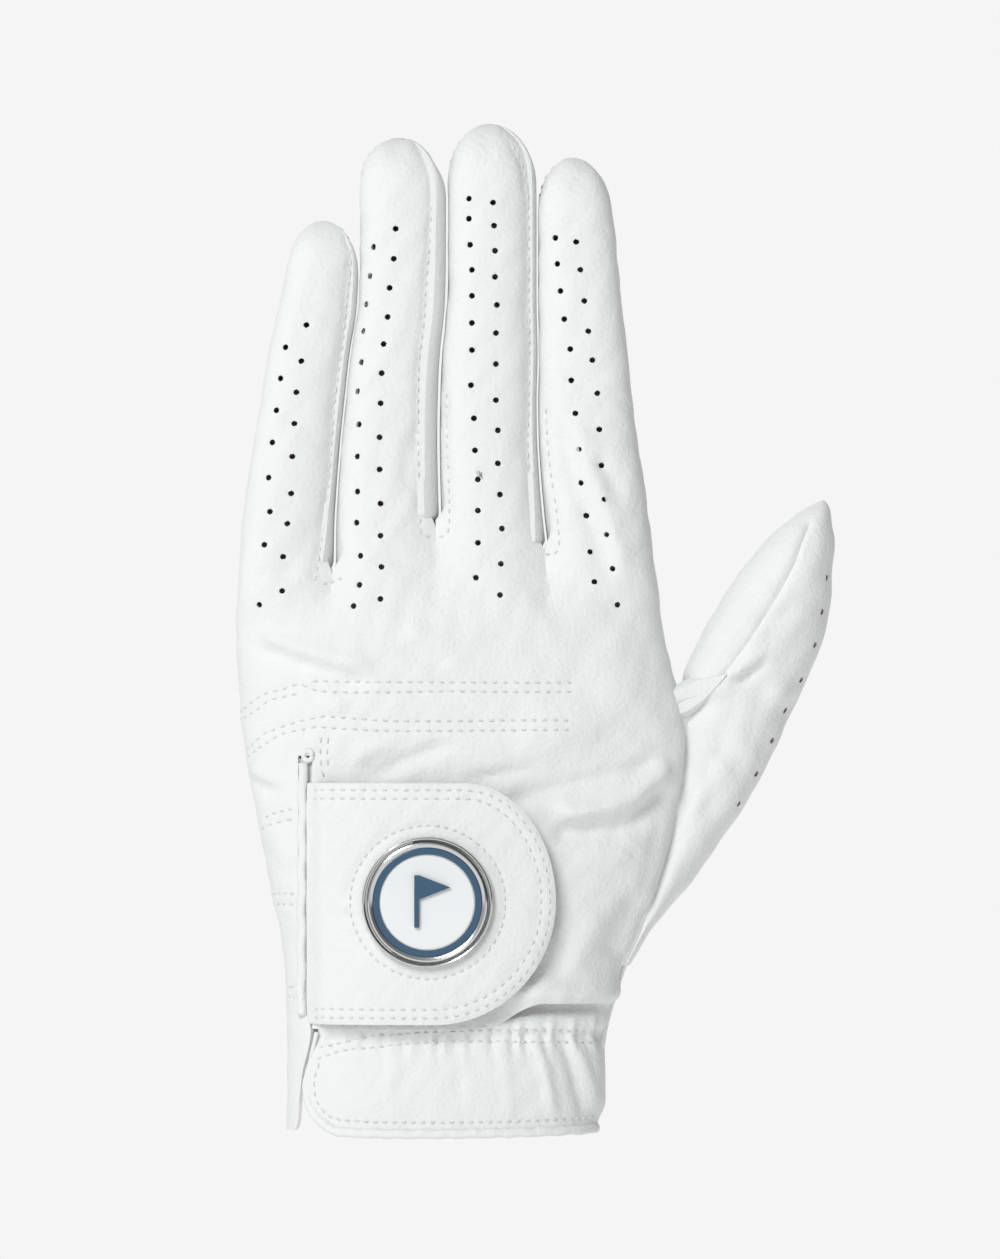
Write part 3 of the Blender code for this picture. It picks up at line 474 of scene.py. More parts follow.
@dataclass(frozen=True)
class Crease:
    """A line along which the leather is folded.

    Attributes:
        path: points of the line, in x and height.
        depth: how far the leather moves at most, in millimetres.
        width: distance from the line over which the fold falls off, in millimetres.
        fold: the form of the fold.
        side: the face of the glove it is on.
        fade: length over which the fold dies away at each end, in millimetres.
    """

    path: Path
    depth: float
    width: float
    fold: Fold = Fold.GROOVE
    side: Side = Side.BACK
    fade: float = 4.0

    def offset(self, points: Points, facing: Points) -> Points:
        """How far each point moves out along its normal.

        Args:
            points: points of the surface.
            facing: their normals' y.

        Returns:
            One distance for each point, in millimetres.
        """
        line = smooth_path(self.path, 1.5)
        flat = points[:, [0, 2]]
        low, high = line.min(0) - 4 * self.width, line.max(0) + 4 * self.width
        near = ((flat > low) & (flat < high)).all(1) & (-facing * self.side.value > 0.02)
        moved = np.zeros(len(points))
        if not near.any():
            return moved
        flat = flat[near]
        starts, runs = line[:-1], np.diff(line, axis=0)
        lengths = np.linalg.norm(runs, axis=1)
        before = np.concatenate(([0.0], np.cumsum(lengths)))
        best = np.full(len(flat), 1e9)
        signed = np.zeros(len(flat))
        travel = np.zeros(len(flat))
        for start, run, length, reached in zip(starts, runs, lengths, before):
            t = np.clip(((flat - start) @ run) / length**2, 0.0, 1.0)
            away = flat - start - t[:, None] * run
            distance = np.hypot(away[:, 0], away[:, 1])
            closer = distance < best
            best = np.where(closer, distance, best)
            turn = run[0] * away[:, 1] - run[1] * away[:, 0]
            signed = np.where(closer, np.sign(turn) * distance, signed)
            travel = np.where(closer, reached + t * length, travel)
        ends = ease(travel / self.fade) * ease((before[-1] - travel) / self.fade)
        if self.fold is Fold.STEP:
            shape = signed / self.width * np.exp(0.5 - signed**2 / (2 * self.width**2))
        else:
            shape = self.fold.value * np.exp(-(best / self.width) ** 2)
        level = np.clip(-facing[near] * self.side.value * 2.5, 0.0, 1.0)
        moved[near] = self.depth * shape * ends * level
        return moved


def softness(points: Points) -> Points:
    """Slow, shallow unevenness of thin leather, in millimetres."""
    x, y, z = points.T
    return 0.10 * (
        np.sin(x * 0.61 + 1.3 * np.sin(z * 0.23 + 0.4)) * np.sin(z * 0.47 + 1.1 * np.sin(x * 0.31))
        + 0.6 * np.sin(x * 1.15 - z * 0.66 + 2.1 * np.sin(y * 0.4 + z * 0.17)))


BACK_CREASES: tuple[Crease, ...] = (
    Crease(((-38.0, 99.4), (-25.2, 94.8), (-13.2, 91.8)), 0.9, 1.6, Fold.STEP),
    Crease(((-9.0, 100.0), (-2.0, 97.0), (3.0, 94.8)), 0.5, 1.8, Fold.STEP),
    Crease(((-40.0, 111.6), (-33.0, 112.0), (-27.0, 110.8)), 0.55, 1.6),
    Crease(((-24.0, 124.0), (-28.0, 117.0), (-33.0, 111.0)), 0.45, 1.5),
    Crease(((-20.0, 119.8), (-16.0, 119.6), (-12.0, 118.6)), 0.45, 1.3),
    Crease(((-12.0, 116.6), (-8.0, 115.0), (-5.0, 115.6)), 0.4, 1.6),
    Crease(((25.4, 143.0), (27.6, 133.0), (31.6, 123.0), (35.2, 110.0)), 0.8, 1.8, Fold.STEP),
    Crease(((31.0, 137.0), (33.6, 131.0), (36.4, 126.0)), 0.5, 1.4),
    Crease(((30.6, 181.4), (32.6, 180.2), (34.6, 178.8)), 0.45, 1.0),
    Crease(((34.0, 147.4), (36.6, 145.8), (39.0, 145.2)), 0.55, 1.1),
    Crease(((-18.0, 73.0), (-13.0, 76.4), (-8.6, 78.2)), 0.5, 1.3, Fold.STEP),
    Crease(((-15.6, 71.0), (-6.0, 75.6), (3.4, 78.8)), 1.1, 1.4),
    Crease(((4.6, 71.2), (11.0, 72.2), (18.6, 73.6)), 1.0, 1.3),
    Crease(((12.0, 66.4), (24.0, 69.8), (36.0, 72.6), (45.0, 75.4)), 1.2, 1.8),
    Crease(((22.0, 64.0), (31.6, 65.4), (39.6, 69.0), (46.2, 75.2)), 1.7, 1.8, Fold.RIDGE),
    Crease(((21.0, 60.4), (35.6, 62.0), (42.0, 65.6), (46.0, 70.4)), 1.9, 2.2),
    Crease(((24.0, 55.0), (33.0, 55.6), (41.0, 60.0)), 0.6, 2.6, Fold.RIDGE),
    Crease(((39.6, 49.0), (36.4, 42.0), (33.0, 34.0)), 1.1, 3.0),
    Crease(((32.0, 46.0), (28.0, 38.0), (26.0, 31.0)), 0.8, 2.6, Fold.RIDGE),
    Crease(((-40.0, 73.0), (-35.6, 70.8), (-30.8, 69.0)), 0.7, 1.3, Fold.STEP),
    Crease(((-37.6, 58.4), (-35.0, 56.8), (-32.4, 56.6)), 0.35, 1.0),
    Crease(((-34.0, 47.0), (-31.0, 42.0), (-29.4, 34.0)), 0.2, 1.4),
    Crease(((-37.0, 66.0), (-33.0, 60.0), (-30.0, 52.0)), 0.4, 1.8, Fold.RIDGE),
    Crease(((-24.0, 84.4), (-21.8, 86.6), (-19.4, 84.6)), 0.5, 1.5, Fold.RIDGE, fade=1.5),
    Crease(((8.0, 104.0), (20.0, 101.0), (34.0, 103.0)), 0.35, 3.2, Fold.STEP),
    Crease(((12.0, 77.0), (22.0, 76.6), (32.0, 80.6), (42.0, 88.0)), 0.9, 4.6, Fold.STEP, fade=8.0),
    Crease(((27.0, 96.0), (34.0, 88.0), (38.0, 78.0)), 0.45, 4.0, Fold.STEP),
    Crease(((-6.0, 150.8), (-10.0, 150.0), (-15.0, 151.4)), 0.3, 1.4),
    Crease(((4.0, 157.6), (9.0, 156.4), (14.6, 158.0)), 0.25, 1.6),
    Crease(((22.0, 152.8), (28.0, 151.0), (34.0, 152.4)), 0.3, 1.5),
    Crease(((-34.4, 145.0), (-29.0, 143.0), (-24.0, 144.0)), 0.3, 1.4),
    Crease(((-3.0, 142.0), (-5.0, 135.0), (-4.6, 127.0)), 0.35, 1.6, Fold.STEP),
)
PALM_CREASES: tuple[Crease, ...] = (
    Crease(((-36.0, 88.0), (-14.0, 92.6), (8.0, 94.6), (30.0, 103.0)), 0.9, 2.0, side=Side.PALM),
    Crease(((-30.0, 74.0), (-8.0, 80.6), (16.0, 84.0), (36.0, 92.0)), 0.8, 2.2, side=Side.PALM),
    Crease(((12.0, 88.0), (8.0, 70.0), (2.0, 50.0), (-4.0, 34.0)), 0.7, 2.6, side=Side.PALM),
    Crease(((-38.0, 102.6), (-30.0, 104.0), (-22.0, 103.4)), 0.5, 1.5, side=Side.PALM),
    Crease(((-20.0, 106.4), (-11.0, 107.6), (-3.0, 106.8)), 0.5, 1.5, side=Side.PALM),
    Crease(((1.0, 108.6), (10.0, 109.6), (19.0, 108.2)), 0.5, 1.5, side=Side.PALM),
    Crease(((23.0, 106.6), (32.0, 107.8), (41.0, 106.2)), 0.5, 1.5, side=Side.PALM),
    Crease(((-36.0, 143.4), (-29.0, 142.0), (-22.6, 143.6)), 0.6, 1.6, side=Side.PALM),
    Crease(((-18.0, 153.4), (-10.0, 152.0), (-3.0, 153.6)), 0.6, 1.6, side=Side.PALM),
    Crease(((1.6, 157.6), (9.0, 156.0), (16.6, 157.8)), 0.6, 1.6, side=Side.PALM),
    Crease(((21.0, 151.6), (28.0, 150.0), (36.6, 152.0)), 0.6, 1.6, side=Side.PALM),
    Crease(((-28.0, 60.0), (-20.0, 48.0), (-16.0, 34.0)), 0.5, 2.6, Fold.STEP, Side.PALM),
)


# ---------------------------------------------------------------- finishes

def linear(colour: str) -> tuple[float, float, float, float]:
    """Turn an sRGB hex colour into a linear one."""
    values = [int(colour[k:k + 2], 16) / 255 for k in (1, 3, 5)]
    turned = [v / 12.92 if v <= 0.04045 else ((v + 0.055) / 1.055) ** 2.4 for v in values]
    return (*turned, 1.0)


def add_node(tree: bpy.types.NodeTree, kind: str, settings: dict | None = None,
             links: dict | None = None) -> bpy.types.Node:
    """Add a node with its settings and the links into it.

    Args:
        tree: node tree to add it to.
        kind: the node's class name.
        settings: values of its properties, or of its input sockets by name or number.
        links: output sockets of other nodes by the name or number of this node's input.

    Returns:
        The node.
    """
    node = tree.nodes.new(kind)
    for name, value in (settings or {}).items():
        if isinstance(name, str) and hasattr(node, name):
            setattr(node, name, value)
        else:
            node.inputs[name].default_value = value
    for name, output in (links or {}).items():
        tree.links.new(output, node.inputs[name])
    return node


@dataclass(frozen=True)
class Finish:
    """A surface with no pattern of its own.

    Attributes:
        name: material name.
        colour: sRGB colour.
        roughness: from 0 to 1.
        metallic: 0 or 1.
        coat: clear coat over it.
        specular: strength of its reflection, 0.5 being the usual.
    """

    name: str
    colour: str
    roughness: float
    metallic: float = 0.0
    coat: float = 0.0
    specular: float = 0.5

    def start(self) -> tuple[bpy.types.Material, bpy.types.NodeTree, bpy.types.Node]:
        """Make the material and set the values that are the same all over."""
        material = bpy.data.materials.new(self.name)
        material.use_nodes = True
        tree = material.node_tree
        shader = tree.nodes["Principled BSDF"]
        shader.inputs["Base Color"].default_value = linear(self.colour)
        shader.inputs["Roughness"].default_value = self.roughness
        shader.inputs["Metallic"].default_value = self.metallic
        shader.inputs["Coat Weight"].default_value = self.coat
        shader.inputs["Specular IOR Level"].default_value = self.specular
        return material, tree, shader

    def bump(self, tree: bpy.types.NodeTree, shader: bpy.types.Node,
             height: bpy.types.NodeSocket, strength: float, distance: float) -> None:
        """Link a height in, so that it tilts the surface by a distance in metres."""
        node = add_node(tree, "ShaderNodeBump", {"Strength": strength, "Distance": distance},
                        {"Height": height})
        tree.links.new(node.outputs["Normal"], shader.inputs["Normal"])

    def material(self) -> bpy.types.Material:
        """Make the material."""
        return self.start()[0]


@dataclass(frozen=True)
class Polished(Finish):
    """Hard, smooth surface with a slight waviness and faint handling marks.

    Attributes:
        wave: size of the waviness in millimetres.
        relief: how far it stands, in metres.
    """

    wave: float = 2.5
    relief: float = 0.00002

    def material(self) -> bpy.types.Material:
        """Make the material on Object coordinates."""
        material, tree, shader = self.start()
        place = add_node(tree, "ShaderNodeTexCoord")
        waves = add_node(tree, "ShaderNodeTexNoise", {"Scale": 1 / (self.wave * MM), "Detail": 2.0},
                         {"Vector": place.outputs["Object"]})
        marks = add_node(tree, "ShaderNodeTexNoise",
                         {"Scale": 1 / (0.6 * MM), "Detail": 4.0, "Distortion": 1.5},
                         {"Vector": place.outputs["Object"]})
        gloss = add_node(tree, "ShaderNodeMapRange",
                         {"To Min": self.roughness * 0.8, "To Max": self.roughness * 1.35},
                         {"Value": marks.outputs["Fac"]})
        tree.links.new(gloss.outputs[0], shader.inputs["Roughness"])
        self.bump(tree, shader, waves.outputs["Fac"], 0.3, self.relief)
        return material


@dataclass(frozen=True)
class Thread(Finish):
    """Twisted thread, its plies shown as coarse as the stitches need, with painted shade darkening
    the grooves between them.

    Attributes:
        ply: distance between plies in millimetres.
    """

    ply: float = 0.35

    def material(self) -> bpy.types.Material:
        """Make the material on Object coordinates."""
        material, tree, shader = self.start()
        place = add_node(tree, "ShaderNodeTexCoord")
        plies = add_node(tree, "ShaderNodeTexWave",
                         {"bands_direction": "DIAGONAL", "Scale": 0.31 / (self.ply * MM),
                          "Distortion": 0.5}, {"Vector": place.outputs["Object"]})
        # Painted shade: the thread's colour falls to 90% where the ply waves sink, in the grooves
        # between plies.
        tint = add_node(tree, "ShaderNodeMix", {"data_type": "RGBA"}, {0: plies.outputs["Fac"]})
        colour = linear(self.colour)
        tint.inputs[6].default_value = (*(value * 0.9 for value in colour[:3]), 1.0)
        tint.inputs[7].default_value = colour
        tree.links.new(tint.outputs[2], shader.inputs["Base Color"])
        self.bump(tree, shader, plies.outputs["Fac"], 0.5, 0.00005)
        return material


@dataclass(frozen=True)
class Leather(Finish):
    """Tanned sheepskin: fine pebbled grain, faint cloudiness and a soft, low gloss.

    Attributes:
        grain: size of the grain's cells in millimetres.
        relief: how far the grain stands, in metres.
        cloud: sRGB colour of the cloudier areas.
    """

    grain: float = 0.75
    relief: float = 0.00034
    cloud: str = "#EEEFEF"

    def material(self) -> bpy.types.Material:
        """Make the material, whose patterns follow the leather's own rest position."""
        material, tree, shader = self.start()
        place = add_node(tree, "ShaderNodeAttribute", {"attribute_name": "rest"})
        where = place.outputs["Vector"]
        clouds = add_node(
            tree, "ShaderNodeTexNoise", {"Scale": 0.055, "Detail": 3.0}, {"Vector": where})
        tint = add_node(tree, "ShaderNodeMix", {"data_type": "RGBA"}, {0: clouds.outputs["Fac"]})
        tint.inputs[6].default_value = linear(self.colour)
        tint.inputs[7].default_value = linear(self.cloud)
        tree.links.new(tint.outputs[2], shader.inputs["Base Color"])
        cells = add_node(
            tree, "ShaderNodeTexVoronoi", {"Scale": 1.0 / self.grain, "feature": "SMOOTH_F1"},
            {"Vector": where})
        pores = add_node(tree, "ShaderNodeTexNoise", {"Scale": 0.9 / self.grain, "Detail": 5.0},
                         {"Vector": where})
        wrinkle = add_node(
            tree, "ShaderNodeTexNoise", {"Scale": 0.22, "Detail": 4.0, "Distortion": 0.6},
            {"Vector": where})
        fine = add_node(tree, "ShaderNodeMath", {"operation": "MULTIPLY_ADD", 1: 0.7},
                        {0: pores.outputs["Fac"], 2: cells.outputs["Distance"]})
        both = add_node(tree, "ShaderNodeMath", {"operation": "MULTIPLY_ADD", 1: 2.2},
                        {0: wrinkle.outputs["Fac"], 2: fine.outputs[0]})
        self.bump(tree, shader, both.outputs[0], 0.35, self.relief)
        sheen = add_node(tree, "ShaderNodeMapRange",
                         {"To Min": self.roughness - 0.06, "To Max": self.roughness + 0.08},
                         {"Value": pores.outputs["Fac"]})
        tree.links.new(sheen.outputs[0], shader.inputs["Roughness"])
        return material


@dataclass(frozen=True)
class Woven(Finish):
    """Textile: ribs across it, or a pile of hooks or loops.

    Attributes:
        thread: distance between threads, hooks or loops in millimetres.
        stretch: how the pattern is drawn out in x, y and z.
        relief: how far it stands, in metres.
    """

    thread: float = 0.8
    stretch: tuple[float, float, float] = (1.0, 1.0, 1.0)
    relief: float = 0.0004

    def material(self) -> bpy.types.Material:
        """Make the material on Object coordinates."""
        material, tree, shader = self.start()
        place = add_node(tree, "ShaderNodeTexCoord")
        size = 1.0 / (self.thread * MM)
        scaled = add_node(tree, "ShaderNodeMapping",
                          {"Scale": tuple(size * value for value in self.stretch)},
                          {"Vector": place.outputs["Object"]})
        cells = add_node(tree, "ShaderNodeTexVoronoi", {"Scale": 1.0},
                         {"Vector": scaled.outputs[0]})
        shade = add_node(tree, "ShaderNodeMix", {"data_type": "RGBA"},
                         {0: cells.outputs["Distance"]})
        colour = linear(self.colour)
        shade.inputs[6].default_value = colour
        shade.inputs[7].default_value = (*(value * 0.62 for value in colour[:3]), 1.0)
        tree.links.new(shade.outputs[2], shader.inputs["Base Color"])
        self.bump(tree, shader, cells.outputs["Distance"], 0.8, self.relief)
        return material


class Finishes:
    """Every finish of the glove, made once."""

    def __init__(self) -> None:
        # Aniline-finished hair sheep: near white, with a dry low gloss. The size of its grain is
        # an estimate.
        self.leather = Leather(
            "sheepskin_grain_side", "#EAEBEB", 0.56, specular=0.3, cloud="#E6E7E7").material()
        # The same skin, skived thinner for the side strips: a little greyer and flatter.
        self.gusset = Leather(
            "sheepskin_skived", "#E2E4E4", 0.62, specular=0.3, cloud="#DDDFDF").material()
        # Flesh side: unfinished and fibrous, so it is darker and has no gloss.
        self.flesh = Leather(
            "sheepskin_flesh_side", "#D6D6D3", 0.95, specular=0.1, grain=0.5,
            cloud="#CBCBC8").material()
        # Bonded polyester thread.
        self.thread = Thread("bonded_polyester_thread", "#E0E2E3", 0.5).material()
        self.elastic = Woven("braided_elastic", "#E6E7E7", 0.85, thread=0.9,
                             stretch=(1.0, 1.0, 0.35)).material()
        self.suede = Woven("synthetic_suede", "#DCDEDE", 0.95, thread=0.35,
                           relief=0.00012).material()
        self.hooks = Woven("nylon_hook_tape", "#E2E4E5", 0.5, thread=0.9, relief=0.0007).material()
        self.loops = Woven("brushed_loop_tape", "#E8E9E9", 0.95, thread=0.6,
                           relief=0.0004).material()
        # Nickel plate on die-cast zinc, polished.
        self.nickel = Polished("polished_nickel_plate", "#D3D5D6", 0.14, 1.0).material()
        self.magnet = Polished("nickel_plated_magnet", "#9C9DA0", 0.32, 1.0).material()
        # Stoved hard enamel, ground flat and clear.
        self.blue = Polished("hard_enamel_blue", "#27506C", 0.16, coat=0.6).material()
        self.white = Polished("hard_enamel_white", "#E9EDEE", 0.16, coat=0.6).material()


# ---------------------------------------------------------------- meshes

def deselect() -> None:
    """Leave object mode's selection empty."""
    for obj in bpy.context.selected_objects:
        obj.select_set(False)


def weld(patches: Iterable[Points]) -> tuple[Points, Points]:
    """Join grids of points where their points meet.

    Args:
        patches: arrays of rows by columns by 3.

    Returns:
        The points, and four point numbers for each cell.
    """
    points, cells, first = [], [], 0
    for rows in patches:
        height, width = rows.shape[:2]
        number = np.arange(height * width).reshape(height, width) + first
        cells.append(np.stack((
            number[:-1, :-1], number[1:, :-1], number[1:, 1:], number[:-1, 1:]), -1).reshape(-1, 4))
        points.append(rows.reshape(-1, 3))
        first += height * width
    joined = np.concatenate(points)
    _, keep, index = np.unique(
        np.round(joined * 200).astype(np.int64), axis=0, return_index=True, return_inverse=True)
    faces = index.reshape(-1)[np.concatenate(cells)]
    distinct = (np.sort(faces, 1)[:, 1:] != np.sort(faces, 1)[:, :-1]).sum(1) + 1
    return joined[keep], faces[distinct >= 3]


def face_normals(points: Points, faces: Points) -> Points:
    """Area-weighted normals of four-cornered faces."""
    corners = points[faces]
    return np.cross(corners[:, 2] - corners[:, 0], corners[:, 3] - corners[:, 1])


def vertex_normals(points: Points, faces: Points) -> Points:
    """Unit normals at the points."""
    found = np.zeros_like(points)
    flat = face_normals(points, faces)
    for k in range(4):
        np.add.at(found, faces[:, k], flat)
    length = np.linalg.norm(found, axis=1, keepdims=True)
    return found / np.maximum(length, 1e-9)


class Skin:
    """A sheet of leather or tape on the glove, as a mesh in millimetres."""

    def __init__(self, patches: Iterable[Points], towards: tuple[float, float, float]) -> None:
        self.points, self.faces = weld(patches)
        if (face_normals(self.points, self.faces) @ np.array(towards)).sum() < 0:
            self.faces = self.faces[:, ::-1]

    def press(self, creases: Iterable[Crease], soft: float = 1.0,
              extra: Callable[[Points], Points] | None = None) -> "Skin":
        """Move the sheet's points along their normals.

        Args:
            creases: lines along which it is folded.
            soft: share of the slow unevenness.
            extra: one more distance for each point.

        Returns:
            The sheet itself.
        """
        normals = vertex_normals(self.points, self.faces)
        moved = softness(self.points) * soft
        for crease in creases:
            moved = moved + crease.offset(self.points, normals[:, 1])
        if extra is not None:
            moved = moved + extra(self.points)
        self.points = self.points + normals * moved[:, None]
        return self

    def tree(self) -> BVHTree:
        """Tree of the sheet's outer face, for laying things on it."""
        return BVHTree.FromPolygons(
            [Vector(p) for p in self.points], [list(dict.fromkeys(f)) for f in self.faces.tolist()])

    def pierce(self, spots: Iterable[Points], radius: float) -> "Skin":
        """Open round holes at the given points of the sheet.

        Args:
            spots: points near the sheet.
            radius: radius of each hole.

        Returns:
            The sheet itself.
        """
        normals = vertex_normals(self.points, self.faces)
        shared = np.bincount(self.faces.ravel(), minlength=len(self.points)) >= 4
        chosen = []
        for spot in spots:
            away = np.linalg.norm(self.points - spot, axis=1)
            index = int(away.argmin())
            if away[index] > 2.0:
                continue
            shift = np.array(spot) - self.points[index]
            shift -= normals[index] * (shift @ normals[index])
            reach = np.linalg.norm(self.points - self.points[index], axis=1)
            near = (reach < 2.4) & shared
            inside = float(shared[reach < 2.3].all())
            fall = inside * np.exp(-(reach[near] / 1.1) ** 2)
            self.points[near] += shift * fall[:, None]
            chosen.append(index)
        faces = self.faces
        points = [self.points]
        added, count = [], len(self.points)
        gone = np.zeros(len(faces), bool)
        around: dict[int, list[int]] = {index: [] for index in chosen}
        for number in np.nonzero(np.isin(faces, chosen).any(1))[0]:
            for corner in faces[number].tolist():
                if corner in around:
                    around[corner].append(int(number))
        for index in chosen:
            cells = around[index]
            if len(cells) != 4 or gone[cells].any():
                continue
            ring = [v for v in dict.fromkeys(faces[cells].ravel().tolist()) if v != index]
            if len(ring) != 8:
                continue
            normal = normals[index]
            across = np.cross(normal, (0.0, 0.0, 1.0))
            across /= np.linalg.norm(across)
            up = np.cross(across, normal)
            arms = self.points[ring] - self.points[index]
            turns = np.arctan2(arms @ up, arms @ across)
            order = np.argsort(turns)
            ring = [ring[k] for k in order]
            turns = turns[order]
            centre = self.points[index]
            circle = [centre + radius * (math.cos(t) * across + math.sin(t) * up) - normal * 0.08
                      for t in turns]
            points.append(np.array(circle))
            for k in range(8):
                following = (k + 1) % 8
                added.append((ring[k], ring[following], count + following, count + k))
            count += 8
            gone[cells] = True
        self.points = np.concatenate(points)
        fresh = np.array(added, int).reshape(-1, 4)
        flat = face_normals(self.points, fresh)
        known = vertex_normals(self.points, faces[~gone])[fresh[:, 0]]
        turned = (flat * known).sum(1) < 0
        fresh[turned] = fresh[turned][:, ::-1]
        self.faces = np.concatenate((faces[~gone], fresh)).astype(int)
        return self

    def obj(self, name: str, outer: bpy.types.Material, inner: bpy.types.Material | None = None,
            thickness: float = LEATHER) -> bpy.types.Object:
        """Thicken the sheet away from its outer face and make its object.

        Args:
            name: object name.
            outer: material of the outer face and the cut edges.
            inner: material of the inner face, if it is another one.
            thickness: in millimetres.

        Returns:
            The object.
        """
        used = np.unique(self.faces)
        place = np.full(len(self.points), -1)
        place[used] = np.arange(len(used))
        points, faces = self.points[used], place[self.faces]
        normals = vertex_normals(points, faces)
        count = len(points)
        edges = np.concatenate([faces[:, [k, (k + 1) % 4]] for k in range(4)])
        edges = edges[edges[:, 0] != edges[:, 1]]
        forward = edges[:, 0] * count + edges[:, 1]
        backward = edges[:, 1] * count + edges[:, 0]
        rim = edges[~np.isin(forward, backward)]
        walls = np.stack((rim[:, 1], rim[:, 0], rim[:, 0] + count, rim[:, 1] + count), -1)
        everything = np.concatenate((faces, faces[:, ::-1] + count, walls))
        vertices = np.concatenate((points, points - normals * thickness))
        return make_object(
            name, vertices, everything, [outer] + ([inner] if inner else []),
            np.concatenate((
                np.zeros(len(faces)), np.full(len(faces), 1.0 if inner else 0.0),
                np.zeros(len(walls)))).astype(int), sharp=38.0)


def ring_faces(rings: int, sides: int) -> list[tuple[int, ...]]:
    """Faces of a tube whose points are numbered ring by ring, with a cap at each end."""
    faces: list[tuple[int, ...]] = []
    for low in range(0, (rings - 1) * sides, sides):
        for k in range(sides):
            following = (k + 1) % sides
            faces.append((low + k, low + sides + k, low + sides + following, low + following))
    faces.append(tuple(range(sides)))
    faces.append(tuple((rings - 1) * sides + k for k in reversed(range(sides))))
    return faces


def make_object(name: str, vertices: Points, faces: Points | Sequence[Sequence[int]],
                materials: Sequence[bpy.types.Material],
                slots: Points | None = None, sharp: float | None = None) -> bpy.types.Object:
    """Make an object of points in millimetres, with its rest position as an attribute.

    Args:
        name: object name.
        vertices: points in millimetres.
        faces: point numbers of each face; a repeated number makes a triangle.
        materials: its materials.
        slots: material number of each face.
        sharp: angle in degrees above which an edge is shaded sharp, or None for no such edge.

    Returns:
        The object.
    """
    mesh = bpy.data.meshes.new(name)
    loops = [list(dict.fromkeys(face)) for face in (
        faces.tolist() if isinstance(faces, np.ndarray) else faces)]
    mesh.from_pydata((vertices * MM).tolist(), [], loops)
    for material in materials:
        mesh.materials.append(material)
    if slots is not None:
        mesh.polygons.foreach_set("material_index", np.asarray(slots, np.int32))
    rest = mesh.attributes.new("rest", "FLOAT_VECTOR", "POINT")
    rest.data.foreach_set("vector", np.asarray(vertices, np.float32).ravel())
    mesh.shade_smooth()
    if sharp is not None:
        mesh.set_sharp_from_angle(angle=math.radians(sharp))
    mesh.update()
    obj = bpy.data.objects.new(name, mesh)
    bpy.context.scene.collection.objects.link(obj)
    return obj


class Stitching:
    """Rows of short stitches laid on sheets, as one mesh."""

    RINGS = ((0.0, -0.16, 0.09), (0.2, 0.07, 0.17), (0.5, 0.13, 0.19), (0.8, 0.07, 0.17),
             (1.0, -0.16, 0.09))
    SIDES = 6

    def __init__(self) -> None:
        self.starts: list[Points] = []
        self.ends: list[Points] = []
        self.normals: list[Points] = []

    def row(self, tree: BVHTree, path: Path, side: Side = Side.BACK, pitch: float = PITCH,
            length: float = STITCH, closed: bool = False, above: float = -1e3,
            below: float = 1e3) -> None:
        """Lay a row along a path of x and height, dropped on a sheet along Y.

        Args:
            tree: the sheet.
            path: x and height of points along the row.
            side: the side it is dropped from.
            pitch: distance from stitch to stitch.
            length: length of a stitch.
            closed: whether the row returns to its start.
            above: height under which it isn't laid.
            below: height over which it isn't laid.
        """
        line = smooth_path(list(path) + ([path[0]] if closed else []), 0.5)
        line = line[(line[:, 1] > above) & (line[:, 1] < below)]
        hits, normals = [], []
        for x, z in line:
            spot, normal, _, _ = tree.ray_cast(
                Vector((x, -90.0 * side.value, z)), Vector((0.0, float(side.value), 0.0)))
            if spot is not None:
                hits.append(spot)
                normals.append(normal)
        self.along(np.array(hits), np.array(normals), pitch, length)

    def along(self, hits: Points, normals: Points, pitch: float = PITCH,
              length: float = STITCH) -> None:
        """Lay a row along points that are on a sheet already."""
        if len(hits) < 2:
            return
        reached = np.concatenate(([0.0], np.cumsum(np.linalg.norm(np.diff(hits, axis=0), axis=1))))
        count = max(1, int(round(reached[-1] / pitch)))
        true_pitch = reached[-1] / count
        at = np.arange(count) * true_pitch

        def read(values: Points, where: Points) -> Points:
            return np.stack([np.interp(where, reached, values[:, k]) for k in range(3)], -1)

        self.starts.append(read(hits, at + 0.15))
        self.ends.append(read(hits, at + 0.15 + length * true_pitch / pitch))
        self.normals.append(read(normals, at + length / 2))

    def obj(self, name: str, material: bpy.types.Material) -> bpy.types.Object | None:
        """Make the stitches' object, or nothing if no stitch was laid."""
        if not self.starts:
            return None
        starts, ends = np.concatenate(self.starts), np.concatenate(self.ends)
        normals = np.concatenate(self.normals)
        run = ends - starts
        run /= np.linalg.norm(run, axis=1, keepdims=True)
        across = np.cross(run, normals)
        across /= np.linalg.norm(across, axis=1, keepdims=True)
        up = np.cross(across, run)
        turns = np.arange(self.SIDES) * 2 * math.pi / self.SIDES
        rings = []
        for share, lift, radius in self.RINGS:
            centre = mix(starts, ends, share) + up * lift
            rings.append(
                centre[:, None] + radius * (
                    np.cos(turns)[None, :, None] * across[:, None]
                    + np.sin(turns)[None, :, None] * up[:, None]))
        points = np.stack(rings, 1).reshape(-1, 3)
        step = len(self.RINGS) * self.SIDES
        one = ring_faces(len(self.RINGS), self.SIDES)
        faces = [[base + corner for corner in face]
                 for base in range(0, len(starts) * step, step) for face in one]
        return make_object(name, points, faces, [material])


